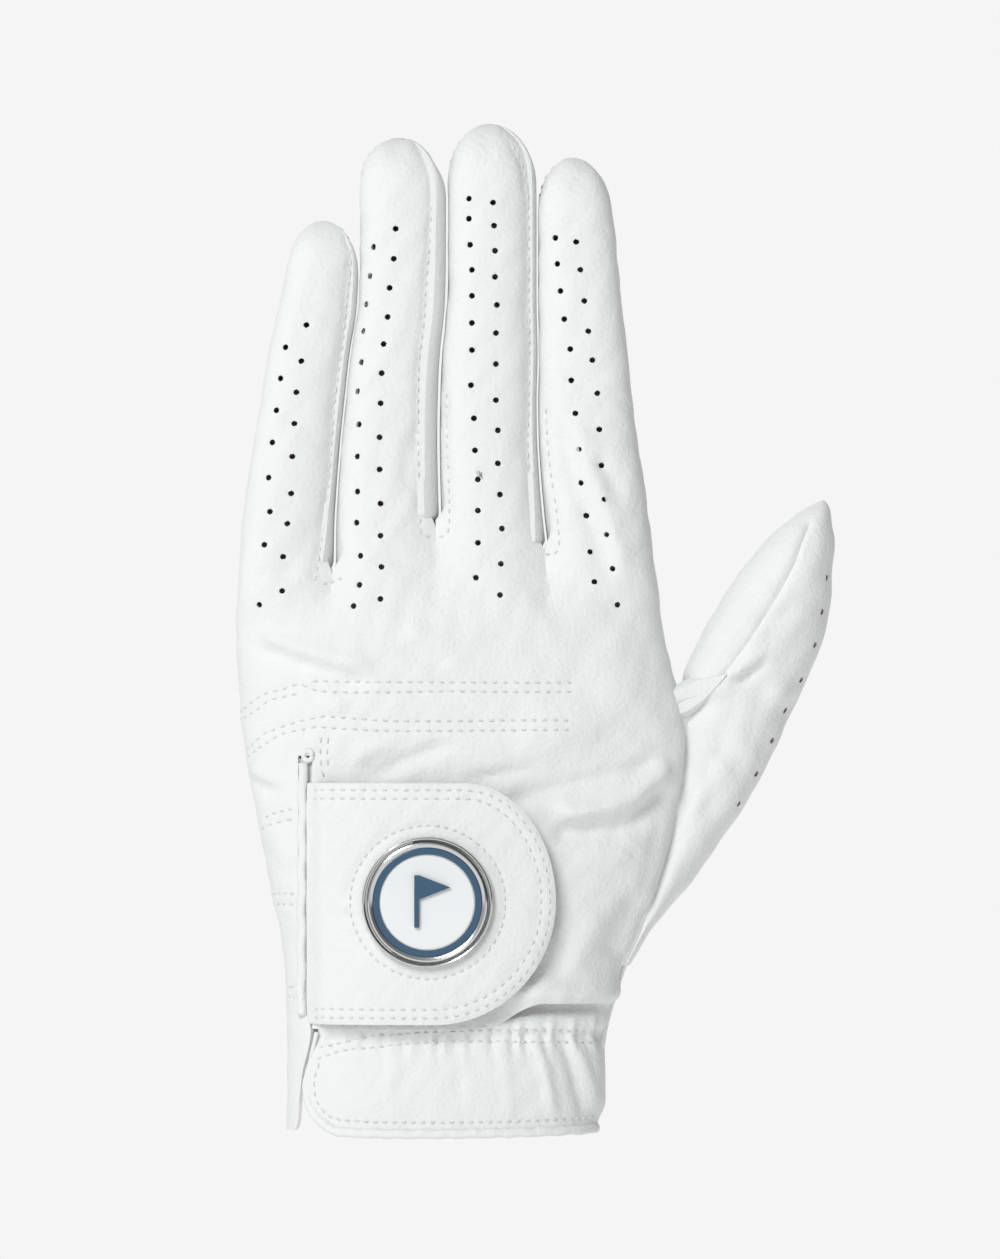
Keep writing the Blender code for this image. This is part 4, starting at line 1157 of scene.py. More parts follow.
def tube(name: str, line: Points, radius: Points, material: bpy.types.Material,
         sides: int = 10, flatten: float = 1.0) -> bpy.types.Object:
    """Round bead along a line, closed at both ends.

    Args:
        name: object name.
        line: points of its centre line in millimetres.
        radius: its radius at each point.
        material: its material.
        sides: corners of its section.
        flatten: its depth along Y as a share of its width.

    Returns:
        The object.
    """
    run = np.gradient(line, axis=0)
    run /= np.linalg.norm(run, axis=1, keepdims=True)
    across = np.cross(run, (0.0, 1.0, 0.0))
    across /= np.linalg.norm(across, axis=1, keepdims=True)
    up = np.cross(across, run) * flatten
    turns = np.arange(sides) * 2 * math.pi / sides
    radius = np.broadcast_to(radius, len(line))
    rings = line[:, None] + radius[:, None, None] * (
        np.cos(turns)[None, :, None] * across[:, None] + np.sin(turns)[None, :, None] * up[:, None])
    points = rings.reshape(-1, 3)
    return make_object(name, points, ring_faces(len(line), sides), [material])


# ---------------------------------------------------------------- glove

def world(point: Points) -> tuple[float, float, float]:
    """Turn a point in millimetres into one in metres."""
    return tuple(float(value) * MM for value in point)


@dataclass
class HandLeather:
    """The hand's back and palm, down to the cuff and up past the crotches of the fingers.

    Attributes:
        slit: left and right edge of the slit's opening.
        left_bottom: height of the lower end of the strip left of the slit.
        cuff_top: height of the cuff.
        strip_edge: x and height along the right edge of that strip, which narrows to a tail.
        rows: distance from row to row of the mesh.
        lane_cells: mesh cells across each finger's lane.
    """

    finishes: Finishes
    slit: tuple[float, float] = (-28.6, -25.8)
    strip_edge: Path = ((-30.2, 0.6), (-29.0, 1.6), (-28.6, 3.0), (-28.4, 8.0), (-27.8, 13.0),
                        (-26.4, 18.0), (-26.0, 21.0), (-26.6, 23.5), (-28.2, 26.0), (-28.6, 30.0),
                        (-28.6, 76.0))
    left_bottom: float = 1.2
    cuff_top: float = 21.6
    rows: float = CELL
    lane_cells: tuple[int, ...] = (24, 28, 28, 28)

    def lanes(self, side: Side) -> list[Points]:
        """Patches from the knuckles to the fingers' roots."""
        patches = []
        for index, name in enumerate(ORDER):
            count = self.lane_cells[index]
            heights = np.arange(0, int((FINGERS[name].root - KNUCKLE_Z) / self.rows) + 1)
            heights = KNUCKLE_Z + heights * self.rows
            heights[-1] = FINGERS[name].root
            h, f = np.meshgrid(heights, np.linspace(0, 1, count + 1), indexing="ij")
            patches.append(lane_point(index, f, h, side))
        return patches

    def knuckle_angles(self, side: Side) -> Points:
        """Angles of the columns at the knuckles, shared with the lanes above them."""
        height = np.array(KNUCKLE_Z)
        found: list[float] = []
        for index in range(4):
            left = 180.0 if index == 0 else float(
                angle_at_x(lane_edge(index - 1, height), height))
            right = float(thumb_side_angle(height)) if index == 3 else float(
                angle_at_x(lane_edge(index, height), height))
            if side is Side.PALM:
                left, right = 360.0 - left, 360.0 + (right if index == 3 else -right)
            span = np.linspace(left, right, self.lane_cells[index] + 1)
            found.extend(span if not found else span[1:])
        return np.array(found)

    def back(self) -> Skin:
        """The back: one sheet, slit from the eyelet down."""
        top = self.knuckle_angles(Side.BACK)
        last = len(top) - 1
        at_slit = float(angle_at_x(np.array(self.slit[0]), np.array(SLIT_TOP)))
        first_cut = int(np.argmin(np.abs(top - at_slit))) + 1
        second_cut = first_cut + 3

        def angles(height: Points) -> Points:
            height = np.asarray(height, float)[:, None]
            strip_edge = np.interp(height, *np.array(self.strip_edge).T[::-1])
            left = angle_at_x(strip_edge, height)
            right = angle_at_x(np.full_like(height, self.slit[1]), height)
            side = thumb_side_angle(height)
            columns = np.arange(last + 1)[None]
            low = np.where(
                columns <= first_cut, mix(180.0, left, columns / first_cut),
                np.where(columns <= second_cut,
                         mix(left, right, (columns - first_cut) / (second_cut - first_cut)),
                         mix(right, side, (columns - second_cut) / (last - second_cut))))
            return mix(low, top[None], ease((height - SLIT_TOP) / (KNUCKLE_Z - SLIT_TOP)))

        def patch(low: float, high: float, first: int, final: int) -> Points:
            heights = np.linspace(low, high, int((high - low) / self.rows) + 1)
            found = angles(heights)[:, first:final + 1]
            return hand_point(found, heights[:, None])

        lower = patch(self.cuff_top, SLIT_TOP, second_cut, last)
        raised = 5.2 * ease((lower[..., 0] - 8.0) / 12.0)
        lower[..., 2] += raised * (1.0 - ease((lower[..., 2] - self.cuff_top) / 18.0))
        patches = [
            patch(SLIT_TOP, KNUCKLE_Z, 0, last),
            patch(self.left_bottom, SLIT_TOP, 0, first_cut),
            lower,
            *self.lanes(Side.BACK),
        ]
        return Skin(patches, OUT_BACK)

    def palm(self) -> Skin:
        """The palm: one sheet, drawn out along the thumb's seam."""
        found = self.knuckle_angles(Side.PALM)
        heights = np.linspace(0.6, KNUCKLE_Z, int((KNUCKLE_Z - 0.6) / self.rows) + 1)
        even = np.linspace(180.0, 360.0 + 10.0, len(found))
        share = ease((heights - 60.0) / 39.0)[:, None]
        side = 360.0 + thumb_side_angle(heights)[:, None]
        spread = mix(even, found, share)
        spread = 180.0 + (spread - 180.0) * (side - 180.0) / (spread[:, -1:] - 180.0)
        rows = hand_point(spread, heights[:, None])
        seam = THUMB_PROFILE(heights)
        x, y = rows[..., 0], rows[..., 1]
        seam_x, seam_y = seam[3][:, None], seam[6][:, None] - 0.9
        lift = 9.0 * (1.0 - ease((x + 28.6) / 6.4)) * (1.0 - ease(rows[..., 2] / 19.0))
        near = np.exp(-(np.maximum(seam_x - x, 0.0) / 11.0) ** 2)
        window = (ease((heights - 26.0) / 12.0) * ease((90.0 - heights) / 9.0))[:, None]
        reach = np.exp(-(np.maximum(x - seam_x, 0.0) / 14.0) ** 2)
        rows[..., 1] = np.where(y > 0, y + np.maximum(seam_y - y, -3.0) * near * window * reach, y)
        rows[..., 2] += lift
        return Skin([rows, *self.lanes(Side.PALM)], OUT_PALM)

    def lower_bulge(self, points: Points) -> Points:
        """Fullness of the back above the cuff's elastic, right of the tab."""
        x, _, z = points.T
        side = ease((x - 6.0) / 14.0) * (points[:, 1] < 4.0)
        return side * 2.3 * np.exp(-((z - 29.0) / 3.2) ** 2)

    def build(self, stitches: "Threadwork") -> None:
        """Make both sheets, and lay the palm's rows of stitches at the fingers' roots."""
        edge = tuple((float(HAND_PROFILE(z)[1]) - 0.9, z) for z in np.arange(34.0, 90.0, 5.0))
        sunk = [Crease(edge, 0.5, 1.3, Fold.RIDGE, fade=4.0)]
        sunk += [Crease(path, 0.28, 0.6, fade=1.0) for path in KNUCKLE_ROWS]
        sunk += [Crease(path, 0.3, 0.6, fade=1.0) for finger in FINGERS.values()
                 for path in finger.sewn]
        back = self.back().press((*BACK_CREASES, *sunk), extra=self.lower_bulge)
        spots = []
        for name in ORDER:
            for x, z in FINGERS[name].holes:
                if z < FINGERS[name].root:
                    spots.append(x_on(back, x, z))
        stitches.back_tree = back.tree()
        obj = back.pierce([spot for spot in spots if spot is not None], HOLE).obj(
            "back_leather", self.finishes.leather, self.finishes.flesh)
        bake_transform(obj)
        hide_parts("back_panel", "finger_back_panel")
        palm = self.palm().press(PALM_CREASES)
        stitches.palm_tree = palm.tree()
        obj = palm.obj("palm_leather", self.finishes.leather, self.finishes.flesh)
        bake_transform(obj)
        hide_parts("palm_panel", "finger_palm_panel")
        rows = Stitching()
        for index, (_, low) in enumerate(CROTCHES):
            for name, on_right in ((ORDER[index], True), (ORDER[index + 1], False)):
                rows.along(*palm_seam(name, stitches.palm_tree, on_right, low + 1.0,
                                      FINGERS[name].root))
        stitches.finish(rows, "palm_root_stitches", "upper_hand")
        log.info("hand leather: back and palm")


def nearest(tree: BVHTree, points: Points, reach: float) -> tuple[Points, Points]:
    """Points of a sheet nearest to the given ones and within reach, and their normals."""
    hits, normals = [], []
    for point in points:
        spot, normal, _, away = tree.find_nearest(Vector(point))
        if spot is not None and away < reach:
            hits.append(spot)
            normals.append(normal)
    return np.array(hits), np.array(normals)


def palm_seam(name: str, tree: BVHTree, on_right: bool, low: float, high: float | None = None,
              inside: float = 1.1) -> tuple[Points, Points]:
    """Points and normals of a row beside one edge of a finger's palm leather.

    Args:
        name: the finger.
        tree: the palm leather.
        on_right: whether it is the right edge.
        low: height of its start.
        high: height of its end, or None to go round the tip.
        inside: distance from the edge.

    Returns:
        The row's points on the leather and their normals.
    """
    finger = FINGERS[name]
    heights = np.arange(low, finger.shoulder if high is None else high, 0.5)
    if high is None:
        dome = np.sin(np.linspace(0.05, 1.1, 12))
        heights = np.append(heights, finger.shoulder + (finger.top - finger.shoulder) * dome)
    left, right = finger_seams(name, Side.PALM, heights)
    step = inside / FINGER_PROFILES[name](heights)[2] * 57.3
    angles = right - step if on_right else left + step
    return nearest(tree, finger_point(name, angles, heights), 2.5)


def x_on(skin: Skin, x: float, z: float) -> Points | None:
    """Point of the back of a sheet at an x and a height."""
    front = skin.points[:, 1] < 2.0
    away = np.where(front, np.hypot(skin.points[:, 0] - x, skin.points[:, 2] - z), 1e9)
    index = int(away.argmin())
    if away[index] > 1.2:
        return None
    return np.array((x, skin.points[index, 1], z))


@dataclass
class Threadwork:
    """All rows of stitches, laid on whichever sheet they sew."""

    finishes: Finishes
    back_tree: BVHTree | None = None
    palm_tree: BVHTree | None = None

    def finish(self, rows: Stitching, name: str, body: str,
               blend: tuple | None = None) -> None:
        """Make the rows' object and attach it to its body; when a blend is given, only bake its
        transform.
        """
        obj = rows.obj(name, self.finishes.thread)
        if obj is None:
            return
        if blend is None:
            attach(obj, body)
        else:
            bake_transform(obj)
        log.info("stitches: %s", name)


KNUCKLE_ROWS: tuple[Path, ...] = (
    ((-26.0, 90.8), (-14.0, 90.6), (0.0, 90.6), (14.0, 90.5), (26.6, 90.5)),
    ((-40.2, 84.6), (-37.4, 87.0), (-35.2, 88.4), (-32.4, 89.0), (-28.4, 90.2), (-24.0, 88.8),
     (-14.0, 88.6), (0.0, 88.8), (14.0, 88.7), (26.6, 88.7)),
    ((-40.2, 83.2), (-36.4, 85.4), (-34.8, 86.8), (-30.4, 88.0), (-28.2, 88.4)),
    ((-39.0, 77.0), (-35.6, 80.2), (-33.4, 81.2), (-29.8, 82.4), (-25.8, 83.4), (-22.4, 83.8),
     (-12.0, 83.0), (0.0, 82.9), (14.0, 83.0), (26.0, 83.0)),
    ((-38.8, 75.8), (-36.0, 77.8), (-31.8, 80.4), (-29.6, 80.8), (-25.6, 81.6), (-20.0, 81.4),
     (-12.0, 81.0), (0.0, 81.0), (14.0, 81.1), (26.0, 81.2)),
    ((-24.0, 80.0), (-24.2, 76.6), (-23.9, 73.0), (-23.2, 71.0)),
    ((-22.6, 79.8), (-22.8, 76.6), (-22.6, 73.2)),
    ((-35.4, 63.6), (-31.8, 65.0), (-29.2, 65.4)),
    ((-36.0, 61.4), (-33.0, 62.6), (-29.2, 63.4)),
    ((-34.0, 48.4), (-31.0, 48.5), (-29.0, 48.4)),
    ((-33.6, 46.4), (-31.0, 46.5), (-29.0, 46.4)),
    ((-30.6, 30.0), (-29.0, 29.8)),
    ((-30.6, 28.0), (-29.0, 27.8)),
)


@dataclass
class FingerLeather:
    """One finger above its root: back and palm leather, side strips and their stitches."""

    finishes: Finishes
    name: str

    def heights(self, low: float) -> Points:
        """Heights from a lower edge to the closed tip, closer together in the dome."""
        finger = FINGERS[self.name]
        straight = np.linspace(low, finger.shoulder, int((finger.shoulder - low) / CELL) + 1)
        turn = np.linspace(0.0, math.pi / 2, 17)[1:]
        return np.concatenate((
            straight, finger.shoulder + (finger.top - finger.shoulder) * np.sin(turn)))

    def inner_sides(self) -> list[bool]:
        """The sides that face another finger; True is the right one."""
        return [on_right for on_right in (False, True)
                if (self.name, on_right) not in (("little", False), ("index", True))]

    def blend(self, obj: bpy.types.Object) -> None:
        """Bake a piece's transform into its mesh; the middle joint's centre and direction are
        worked out but not used.
        """
        finger = FINGERS[self.name]
        left, right, _ = FINGER_PROFILES[self.name](finger.pip)
        above = FINGER_PROFILES[self.name](finger.pip + 2.0)
        middle = np.array(((left + right) / 2, 0.0, finger.pip))
        run = np.array(((above[0] + above[1]) / 2, 0.0, finger.pip + 2.0)) - middle
        run /= np.linalg.norm(run)
        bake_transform(obj)

    def sheet(self, side: Side) -> Skin:
        """Back or palm leather above the root."""
        finger = FINGERS[self.name]
        heights = self.heights(finger.root)
        count = HandLeather.lane_cells[ORDER.index(self.name)]
        left, right = finger_seams(self.name, side, heights)
        span = mix(left[:, None], right[:, None], np.linspace(0.0, 1.0, count + 1)[None])
        rows = finger_point(self.name, span, heights[:, None])
        if side is Side.BACK:
            across = np.linspace(0.0, 1.0, count + 1)[None]
            fade = ease((finger.top - heights) / (finger.top - finger.shoulder))[:, None]
            rows[..., 0] += seam_flange(self.name, across, heights[:, None]) * fade
        return Skin([rows], OUT_BACK if side is Side.BACK else OUT_PALM)

    def strip(self, on_right: bool, low: float) -> Points:
        """Rows of the strip between back and palm leather on one side."""
        heights = self.heights(low)
        back = finger_seams(self.name, Side.BACK, heights)
        palm = finger_seams(self.name, Side.PALM, heights)
        first = (back[1] + 9.0) if on_right else (back[0] - 9.0)
        last = (palm[1] - 360.0 - 9.0) if on_right else (palm[0] + 9.0)
        across = np.linspace(0.0, 1.0, 15)[None]
        span = mix(first[:, None], last[:, None], across)
        return finger_point(self.name, span, heights[:, None],
                            strip_rise(self.name, on_right, heights[:, None], across))

    def build(self) -> None:
        """Make the finger's pieces."""
        finger = FINGERS[self.name]
        rows = Stitching()
        sunk = [Crease(path, 0.3, 0.6, fade=1.0) for path in finger.sewn]
        back = self.sheet(Side.BACK).press((*BACK_CREASES, *sunk))
        palm = self.sheet(Side.PALM).press(PALM_CREASES)
        tree = back.tree()
        for path in finger.sewn:
            rows.row(tree, path, above=finger.root + 0.2)
        tree = palm.tree()
        for on_right in self.inner_sides():
            rows.along(*palm_seam(self.name, tree, on_right, finger.root + 0.4))
        spots = [x_on(back, x, z) for x, z in finger.holes if z >= finger.root]
        back.pierce([spot for spot in spots if spot is not None], HOLE)
        obj = back.obj(f"{self.name}_back_leather", self.finishes.leather, self.finishes.flesh)
        self.blend(obj)
        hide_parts(f"{self.name}_tip_back")
        obj = palm.obj(f"{self.name}_palm_leather", self.finishes.leather, self.finishes.flesh)
        self.blend(obj)
        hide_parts(f"{self.name}_tip_palm")
        for on_right in self.inner_sides():
            strip = self.strip(on_right, finger.root - 0.1)
            skin = Skin([strip], (1.0 if on_right else -1.0, 0.0, 0.0))
            word = "right" if on_right else "left"
            obj = skin.obj(f"{self.name}_{word}_side_strip", self.finishes.gusset, thickness=0.6)
            self.blend(obj)
            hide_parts(f"{self.name}_tip_gusset_{word}")
        obj = rows.obj(f"{self.name}_seam_stitches", self.finishes.thread)
        if obj is not None:
            self.blend(obj)
        log.info("%s finger", self.name)


@dataclass
class CrotchStrip:
    """The strip of thin leather between two fingers, folded at their crotch."""

    finishes: Finishes
    left: str
    right: str
    crotch: tuple[float, float]
    below: float = 0.8
    span: float = 0.62

    def side(self, name: str, on_right: bool) -> Points:
        """Rows from the fold up to a finger's root."""
        finger = FINGERS[name]
        x, z = self.crotch
        heights = np.linspace(z - self.below, finger.root, 24)
        back = finger_seams(name, Side.BACK, heights)
        palm = finger_seams(name, Side.PALM, heights)
        first = (back[1] + 12.0) if on_right else (back[0] - 12.0)
        last = (palm[1] - 372.0) if on_right else (palm[0] + 12.0)
        share = np.linspace(0.0, 1.0, 15)[None]
        span = mix(first[:, None], last[:, None], share)
        fold = (1.0 - ease((heights - (z - self.below)) / (self.below + 2.5)))[:, None]
        rise = strip_rise(name, on_right, heights[:, None], share)
        rows = finger_point(name, span, heights[:, None], mix(rise, -1.2, fold))
        depth = FINGER_PROFILES[name](heights[0])[2] * self.span
        across = np.linspace(-depth, depth, 15)[None]
        rows[..., 0] = mix(rows[..., 0], x, fold)
        rows[..., 1] = mix(rows[..., 1], across, fold)
        return rows

    def build(self) -> None:
        """Make the strip as one folded piece."""
        depth = min(FINGER_PROFILES[name](self.crotch[1] - self.below)[2]
                    for name in (self.left, self.right)) * self.span
        first, second = self.side(self.left, True), self.side(self.right, False)
        for rows in (first, second):
            rows[0, :, 1] = np.linspace(-depth, depth, 15)
        skin = Skin([first[::-1], second], (0.0, 0.0, 1.0))
        obj = skin.obj(f"{self.left}_{self.right}_crotch_strip", self.finishes.gusset,
                       thickness=0.6)
        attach(obj, "upper_hand")
        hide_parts(f"{self.left}_gusset_right", f"{self.right}_gusset_left")
        log.info("strip between %s and %s", self.left, self.right)


@dataclass
class Thumb:
    """The thumb in two halves joined along its front, with its quirk.

    Attributes:
        outer: angles of the outer half, which carries the holes.
        inner: angles of the half that faces the index finger.
        floor: height of the inner half's lower end.
        holes: x and height of its ventilation holes.
        creases: folds of its leather.
    """

    finishes: Finishes
    outer: tuple[float, float] = (90.0, -90.0)
    inner: tuple[float, float] = (270.0, 90.0)
    floor: float = 79.0
    holes: Path = (
        (77.0, 111.4), (76.0, 104.6), (74.6, 98.0), (71.8, 91.0), (68.8, 84.8),
        (66.2, 78.8), (62.9, 72.2), (59.4, 66.2))
    creases: tuple[Crease, ...] = (
        Crease(tuple((float(THUMB_PROFILE(z)[1]), z) for z in np.arange(90.0, 126.0, 3.0)),
               0.5, 0.55, fade=1.5),
        Crease(((56.2, 90.6), (60.6, 92.6), (65.8, 97.0)), 0.9, 1.1, Fold.STEP),
        Crease(((64.8, 84.4), (68.0, 86.0), (72.0, 89.4)), 0.8, 2.4, Fold.STEP),
        Crease(((56.0, 84.0), (58.0, 79.0), (58.6, 73.0)), 0.5, 2.6, Fold.STEP),
        Crease(((61.0, 101.0), (66.0, 103.4), (72.0, 106.0)), 0.35, 1.5),
        Crease(((52.0, 78.0), (53.6, 70.0), (52.6, 61.0)), 0.45, 2.0),
    )

    def heights(self, low: float) -> Points:
        """Heights up to the thumb's tip."""
        return np.concatenate((np.arange(low, 119.0, CELL), np.linspace(119.4, 126.9, 18)))

    def blend(self, obj: bpy.types.Object) -> None:
        """Bake a piece's transform into its mesh."""
        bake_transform(obj)

    def build(self) -> None:
        """Make the thumb's pieces."""
        heights = self.heights(34.0)
        span = np.linspace(*self.outer, 56)[None]
        rows = thumb_point(span, heights[:, None])
        under = hand_point(np.full_like(heights, 26.0), heights, -1.8)
        tuck = (1.0 - ease((heights - 85.0) / 4.0))[:, None]
        _, front, right, *_ = (value[:, None] for value in THUMB_PROFILE(heights))
        beside = np.clip(1.0 - (rows[..., 0] - front) / np.maximum(right - front, 1.0) * 2.4, 0, 1)
        room = np.clip((right - front) / 14.0, 0.0, 1.0)
        rows[..., 1] += np.where(rows[..., 1] < 1.0, 2.3, 0.0) * tuck * room * beside**2
        flap = [rows[:, 0] + (under - rows[:, 0]) * tuck * share for share in (1.0, 0.66, 0.33)]
        rows = np.concatenate((np.stack(flap, 1), rows), axis=1)
        outer = Skin([rows], (1.0, 0.0, 0.0)).press(self.creases, 1.3)
        edge_rows = Stitching()
        self.seam(edge_rows, outer.tree(), -84.5, 34.6)
        spots = [x_on(outer, x, z) for x, z in self.holes]
        outer.pierce([spot for spot in spots if spot is not None], HOLE)
        obj = outer.obj("thumb_outer_leather", self.finishes.leather, self.finishes.flesh)
        self.blend(obj)
        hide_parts("thumb_back", "thumb_back_tip")
        span = np.linspace(*self.inner, 48)[None]
        heights = self.heights(self.floor)
        rows = thumb_point(span, heights[:, None])
        sunk = (1.0 - ease((heights - 83.5) / 4.0))[:, None]
        front = 5.0 * (1.0 - ease((rows[..., 1] - 1.0) / 4.0))
        rows[..., 1] += sunk * (front - 4.5 * ease((rows[..., 1] - 3.0) / 5.0))
        inner = Skin([rows], (-1.0, 0.0, 0.0)).press(self.creases, 1.3)
        obj = inner.obj("thumb_inner_leather", self.finishes.leather, self.finishes.flesh)
        self.blend(obj)
        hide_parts("thumb_front", "thumb_front_tip")
        obj = edge_rows.obj("thumb_seam_stitches", self.finishes.thread)
        self.blend(obj)
        self.quirk()
        log.info("thumb")

    @staticmethod
    def seam(rows: Stitching, tree: BVHTree, angle: float, low: float) -> None:
        """Lay a row beside a seam of the thumb."""
        heights = np.arange(low, 124.5, 0.5)
        rows.along(*nearest(tree, thumb_point(np.full_like(heights, angle), heights), 2.0))

    def quirk(self) -> None:
        """The small piece of leather that bridges thumb and hand."""
        u, v = np.meshgrid(np.linspace(0, 1, 33), np.linspace(0, 1, 25), indexing="ij")
        top = smooth_path(((56.8, 92.2), (52.0, 91.9), (48.6, 91.0), (44.6, 89.0)), 0.1)
        low = smooth_path(
            ((56.8, 92.0), (54.2, 88.2), (51.8, 85.5), (49.4, 83.8), (46.2, 83.0)), 0.1)
        edges = []
        for line in (top, low):
            at = np.linspace(0, 1, len(line))
            edges.append(np.stack([np.interp(u[:, 0], at, line[:, k]) for k in (0, 1)], -1))
        flat = mix(edges[0][:, None], edges[1][:, None], v[..., None])
        tucked = hand_at_x(flat[-1, :, 0], flat[-1, :, 1])[:, 1] + 1.5
        y = mix(-5.5, tucked[None], u) + 0.3 * np.sin(math.pi * u)
        curl = 2.4 * ease(1.0 - v / 0.16) + 2.0 * ease(1.0 - (1.0 - v) / 0.16)
        y += curl * ease(u * 4.0 + 0.12)
        skin = Skin([np.stack((flat[..., 0], y, flat[..., 1]), -1)], OUT_BACK)
        obj = skin.obj("quirk_leather", self.finishes.leather, thickness=0.5)
        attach(obj, "hand")
        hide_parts("thumb_quirk")


@dataclass
class Cuff:
    """The gathered band over the wrist's elastic, and its binding.

    Attributes:
        left: x and height along its rounded left end.
        top: height of its hidden upper edge.
    """

    finishes: Finishes
    left: Path = ((-24.9, 29.0), (-24.9, 21.0), (-26.0, 16.0), (-27.0, 11.0), (-26.7, 8.0),
                  (-25.6, 5.2), (-23.6, 2.8), (-20.6, 1.3))
    top: float = 29.0
    upper_row: Path = ((-24.6, 17.8), (-19.4, 19.0), (-14.0, 20.2), (-8.0, 20.6), (-1.8, 21.0),
                       (19.2, 21.6), (30.6, 20.8))
    lower_row: Path = ((-25.0, 15.6), (-19.4, 17.4), (-13.8, 18.0), (-8.0, 18.6), (2.8, 19.2),
                       (25.6, 19.0), (30.8, 18.6))

    def gathers(self, points: Points) -> Points:
        """Puckers that the elastic draws into the band, and its roll above the rows."""
        x, _, z = points.T
        wave = np.sin(x * 1.75 + 0.9 * np.sin(x * 0.37)) + 0.5 * np.sin(x * 2.9 + 1.0)
        drawn = np.exp(-((z - 20.0) / 3.2) ** 2)
        pinch = -0.9 * np.exp(-((z - 20.0) / 1.8) ** 2)
        long = np.zeros_like(x)
        for place, size, slant in ((19.0, 1.0, 0.2), (24.2, -0.9, 0.24), (26.6, 0.9, 0.26),
                                   (12.0, 0.35, 0.1), (3.0, -0.3, 0.05), (-9.0, 0.3, -0.08),
                                   (30.0, 0.7, 0.1)):
            away = (x - place - (20.0 - z) * slant) / 1.3
            long = long + size * np.exp(-away**2)
        long = long * ease((z - 2.5) / 5.0) * ease((20.5 - z) / 3.0)
        belly = 0.7 * np.sin(np.clip((z - 3.0) / 15.0, 0.0, 1.0) * np.pi)
        return 0.3 * wave * drawn + pinch + belly + 0.8 * long

    def build(self) -> None:
        """Make the band, its double row of stitches and its binding."""
        heights = np.linspace(1.3, self.top, 56)
        line = smooth_path(self.left, 0.3)[::-1]
        left = np.interp(heights, line[:, 1], line[:, 0])
        right = HAND_PROFILE(heights)[1] - 0.02
        share = np.sin(np.linspace(0.0, 1.0, 120) * np.pi / 2)[None]
        x = mix(left[:, None], right[:, None], share)
        lean = ease((heights - 21.6) / 5.0)[:, None]
        band = Skin([hand_at_x(x, heights[:, None], out=0.3 - 3.4 * lean)], OUT_BACK)
        band.press((), 0.8, self.gathers)
        tree = band.tree()
        obj = band.obj("cuff_leather", self.finishes.leather, self.finishes.flesh)
        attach(obj, "hand")
        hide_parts("cuff_band")
        rows = Stitching()
        rows.row(tree, self.upper_row, pitch=1.9, length=1.3)
        rows.row(tree, self.lower_row, pitch=1.9, length=1.3)
        rows.row(tree, ((-24.3, 15.0), (-25.4, 11.0), (-25.0, 7.6), (-23.2, 4.9), (-20.0, 3.6),
                        (-10.0, 3.2), (10.0, 3.3), (30.4, 3.9)), pitch=1.9, length=1.3)
        obj = rows.obj("cuff_stitches", self.finishes.thread)
        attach(obj, "hand")
        self.binding()
        log.info("cuff")

    def binding(self) -> None:
        """The rolled edge along the left end and the bottom of the cuff."""
        path = list(self.left[1:]) + [(-14.0, 0.9), (0.0, 0.85), (16.0, 1.1), (30.8, 1.5)]
        line = smooth_path(path, 0.5)
        points = hand_at_x(line[:, 0], line[:, 1], out=0.5)
        points[:, 2] += 0.08 * np.sin(line[:, 0] * 1.3)
        radius = 0.95 + 0.05 * np.sin(np.arange(len(line)) * 0.9)
        radius = radius * np.clip(np.arange(len(line)) / 30.0, 0.45, 1.0)
        obj = tube("cuff_binding_roll", points, radius, self.finishes.leather, 12, 0.8)
        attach(obj, "hand")
        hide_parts("cuff_binding")


@dataclass
class Slit:
    """The bound slit below its eyelet."""

    finishes: Finishes

    def build(self) -> None:
        """Make the binding and the bar tack that closes the slit's top."""
        heights = np.linspace(24.2, 74.6, 90)
        x = np.interp(heights, (24.0, 74.6), (-27.9, -27.6))
        points = hand_at_x(x, heights, out=0.25)
        points[:, 0] += 0.15 * np.sin(heights * 0.8)
        obj = tube("slit_binding_roll", points, np.full(len(x), 1.0), self.finishes.leather, 10,
                   0.75)
        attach(obj, "hand")
        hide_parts("slit_binding")
        heights = np.linspace(23.0, 75.4, 70)
        x = mix(-30.4, np.full((70, 1), -22.6), np.linspace(0.0, 1.0, 12)[None])
        skin = Skin([hand_at_x(x, heights[:, None], out=-1.1)], OUT_BACK)
        obj = skin.obj("slit_facing", self.finishes.gusset, self.finishes.flesh, 0.5)
        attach(obj, "hand")
        turns = np.linspace(0, 2 * math.pi, 25)
        ring = np.stack((-26.6 + 0.85 * np.cos(turns), np.full(25, 0.0),
                         76.0 + 1.0 * np.sin(turns)), -1)
        ring[:, 1] = hand_at_x(ring[:, 0], ring[:, 2], out=0.05)[:, 1]
        obj = tube("slit_eyelet", ring, np.full(25, 0.55), self.finishes.leather, 8, 0.8)
        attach(obj, "hand")
        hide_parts("slit_bartack")
        log.info("slit binding and eyelet")


def tab_right_edge(height: Points) -> Points:
    """x of the tab's rounded right edge."""
    above = height > TAB_WAIST
    reach = np.where(above, TAB_TOP - TAB_WAIST, TAB_WAIST - TAB_BOTTOM)
    straight = np.where(above, TAB_TOP_STRAIGHT, TAB_BOTTOM_STRAIGHT)
    share = np.clip(np.abs(height - TAB_WAIST) / reach, 0.0, 1.0)
    return mix(straight, TAB_RIGHT, np.sqrt(1.0 - share * share))


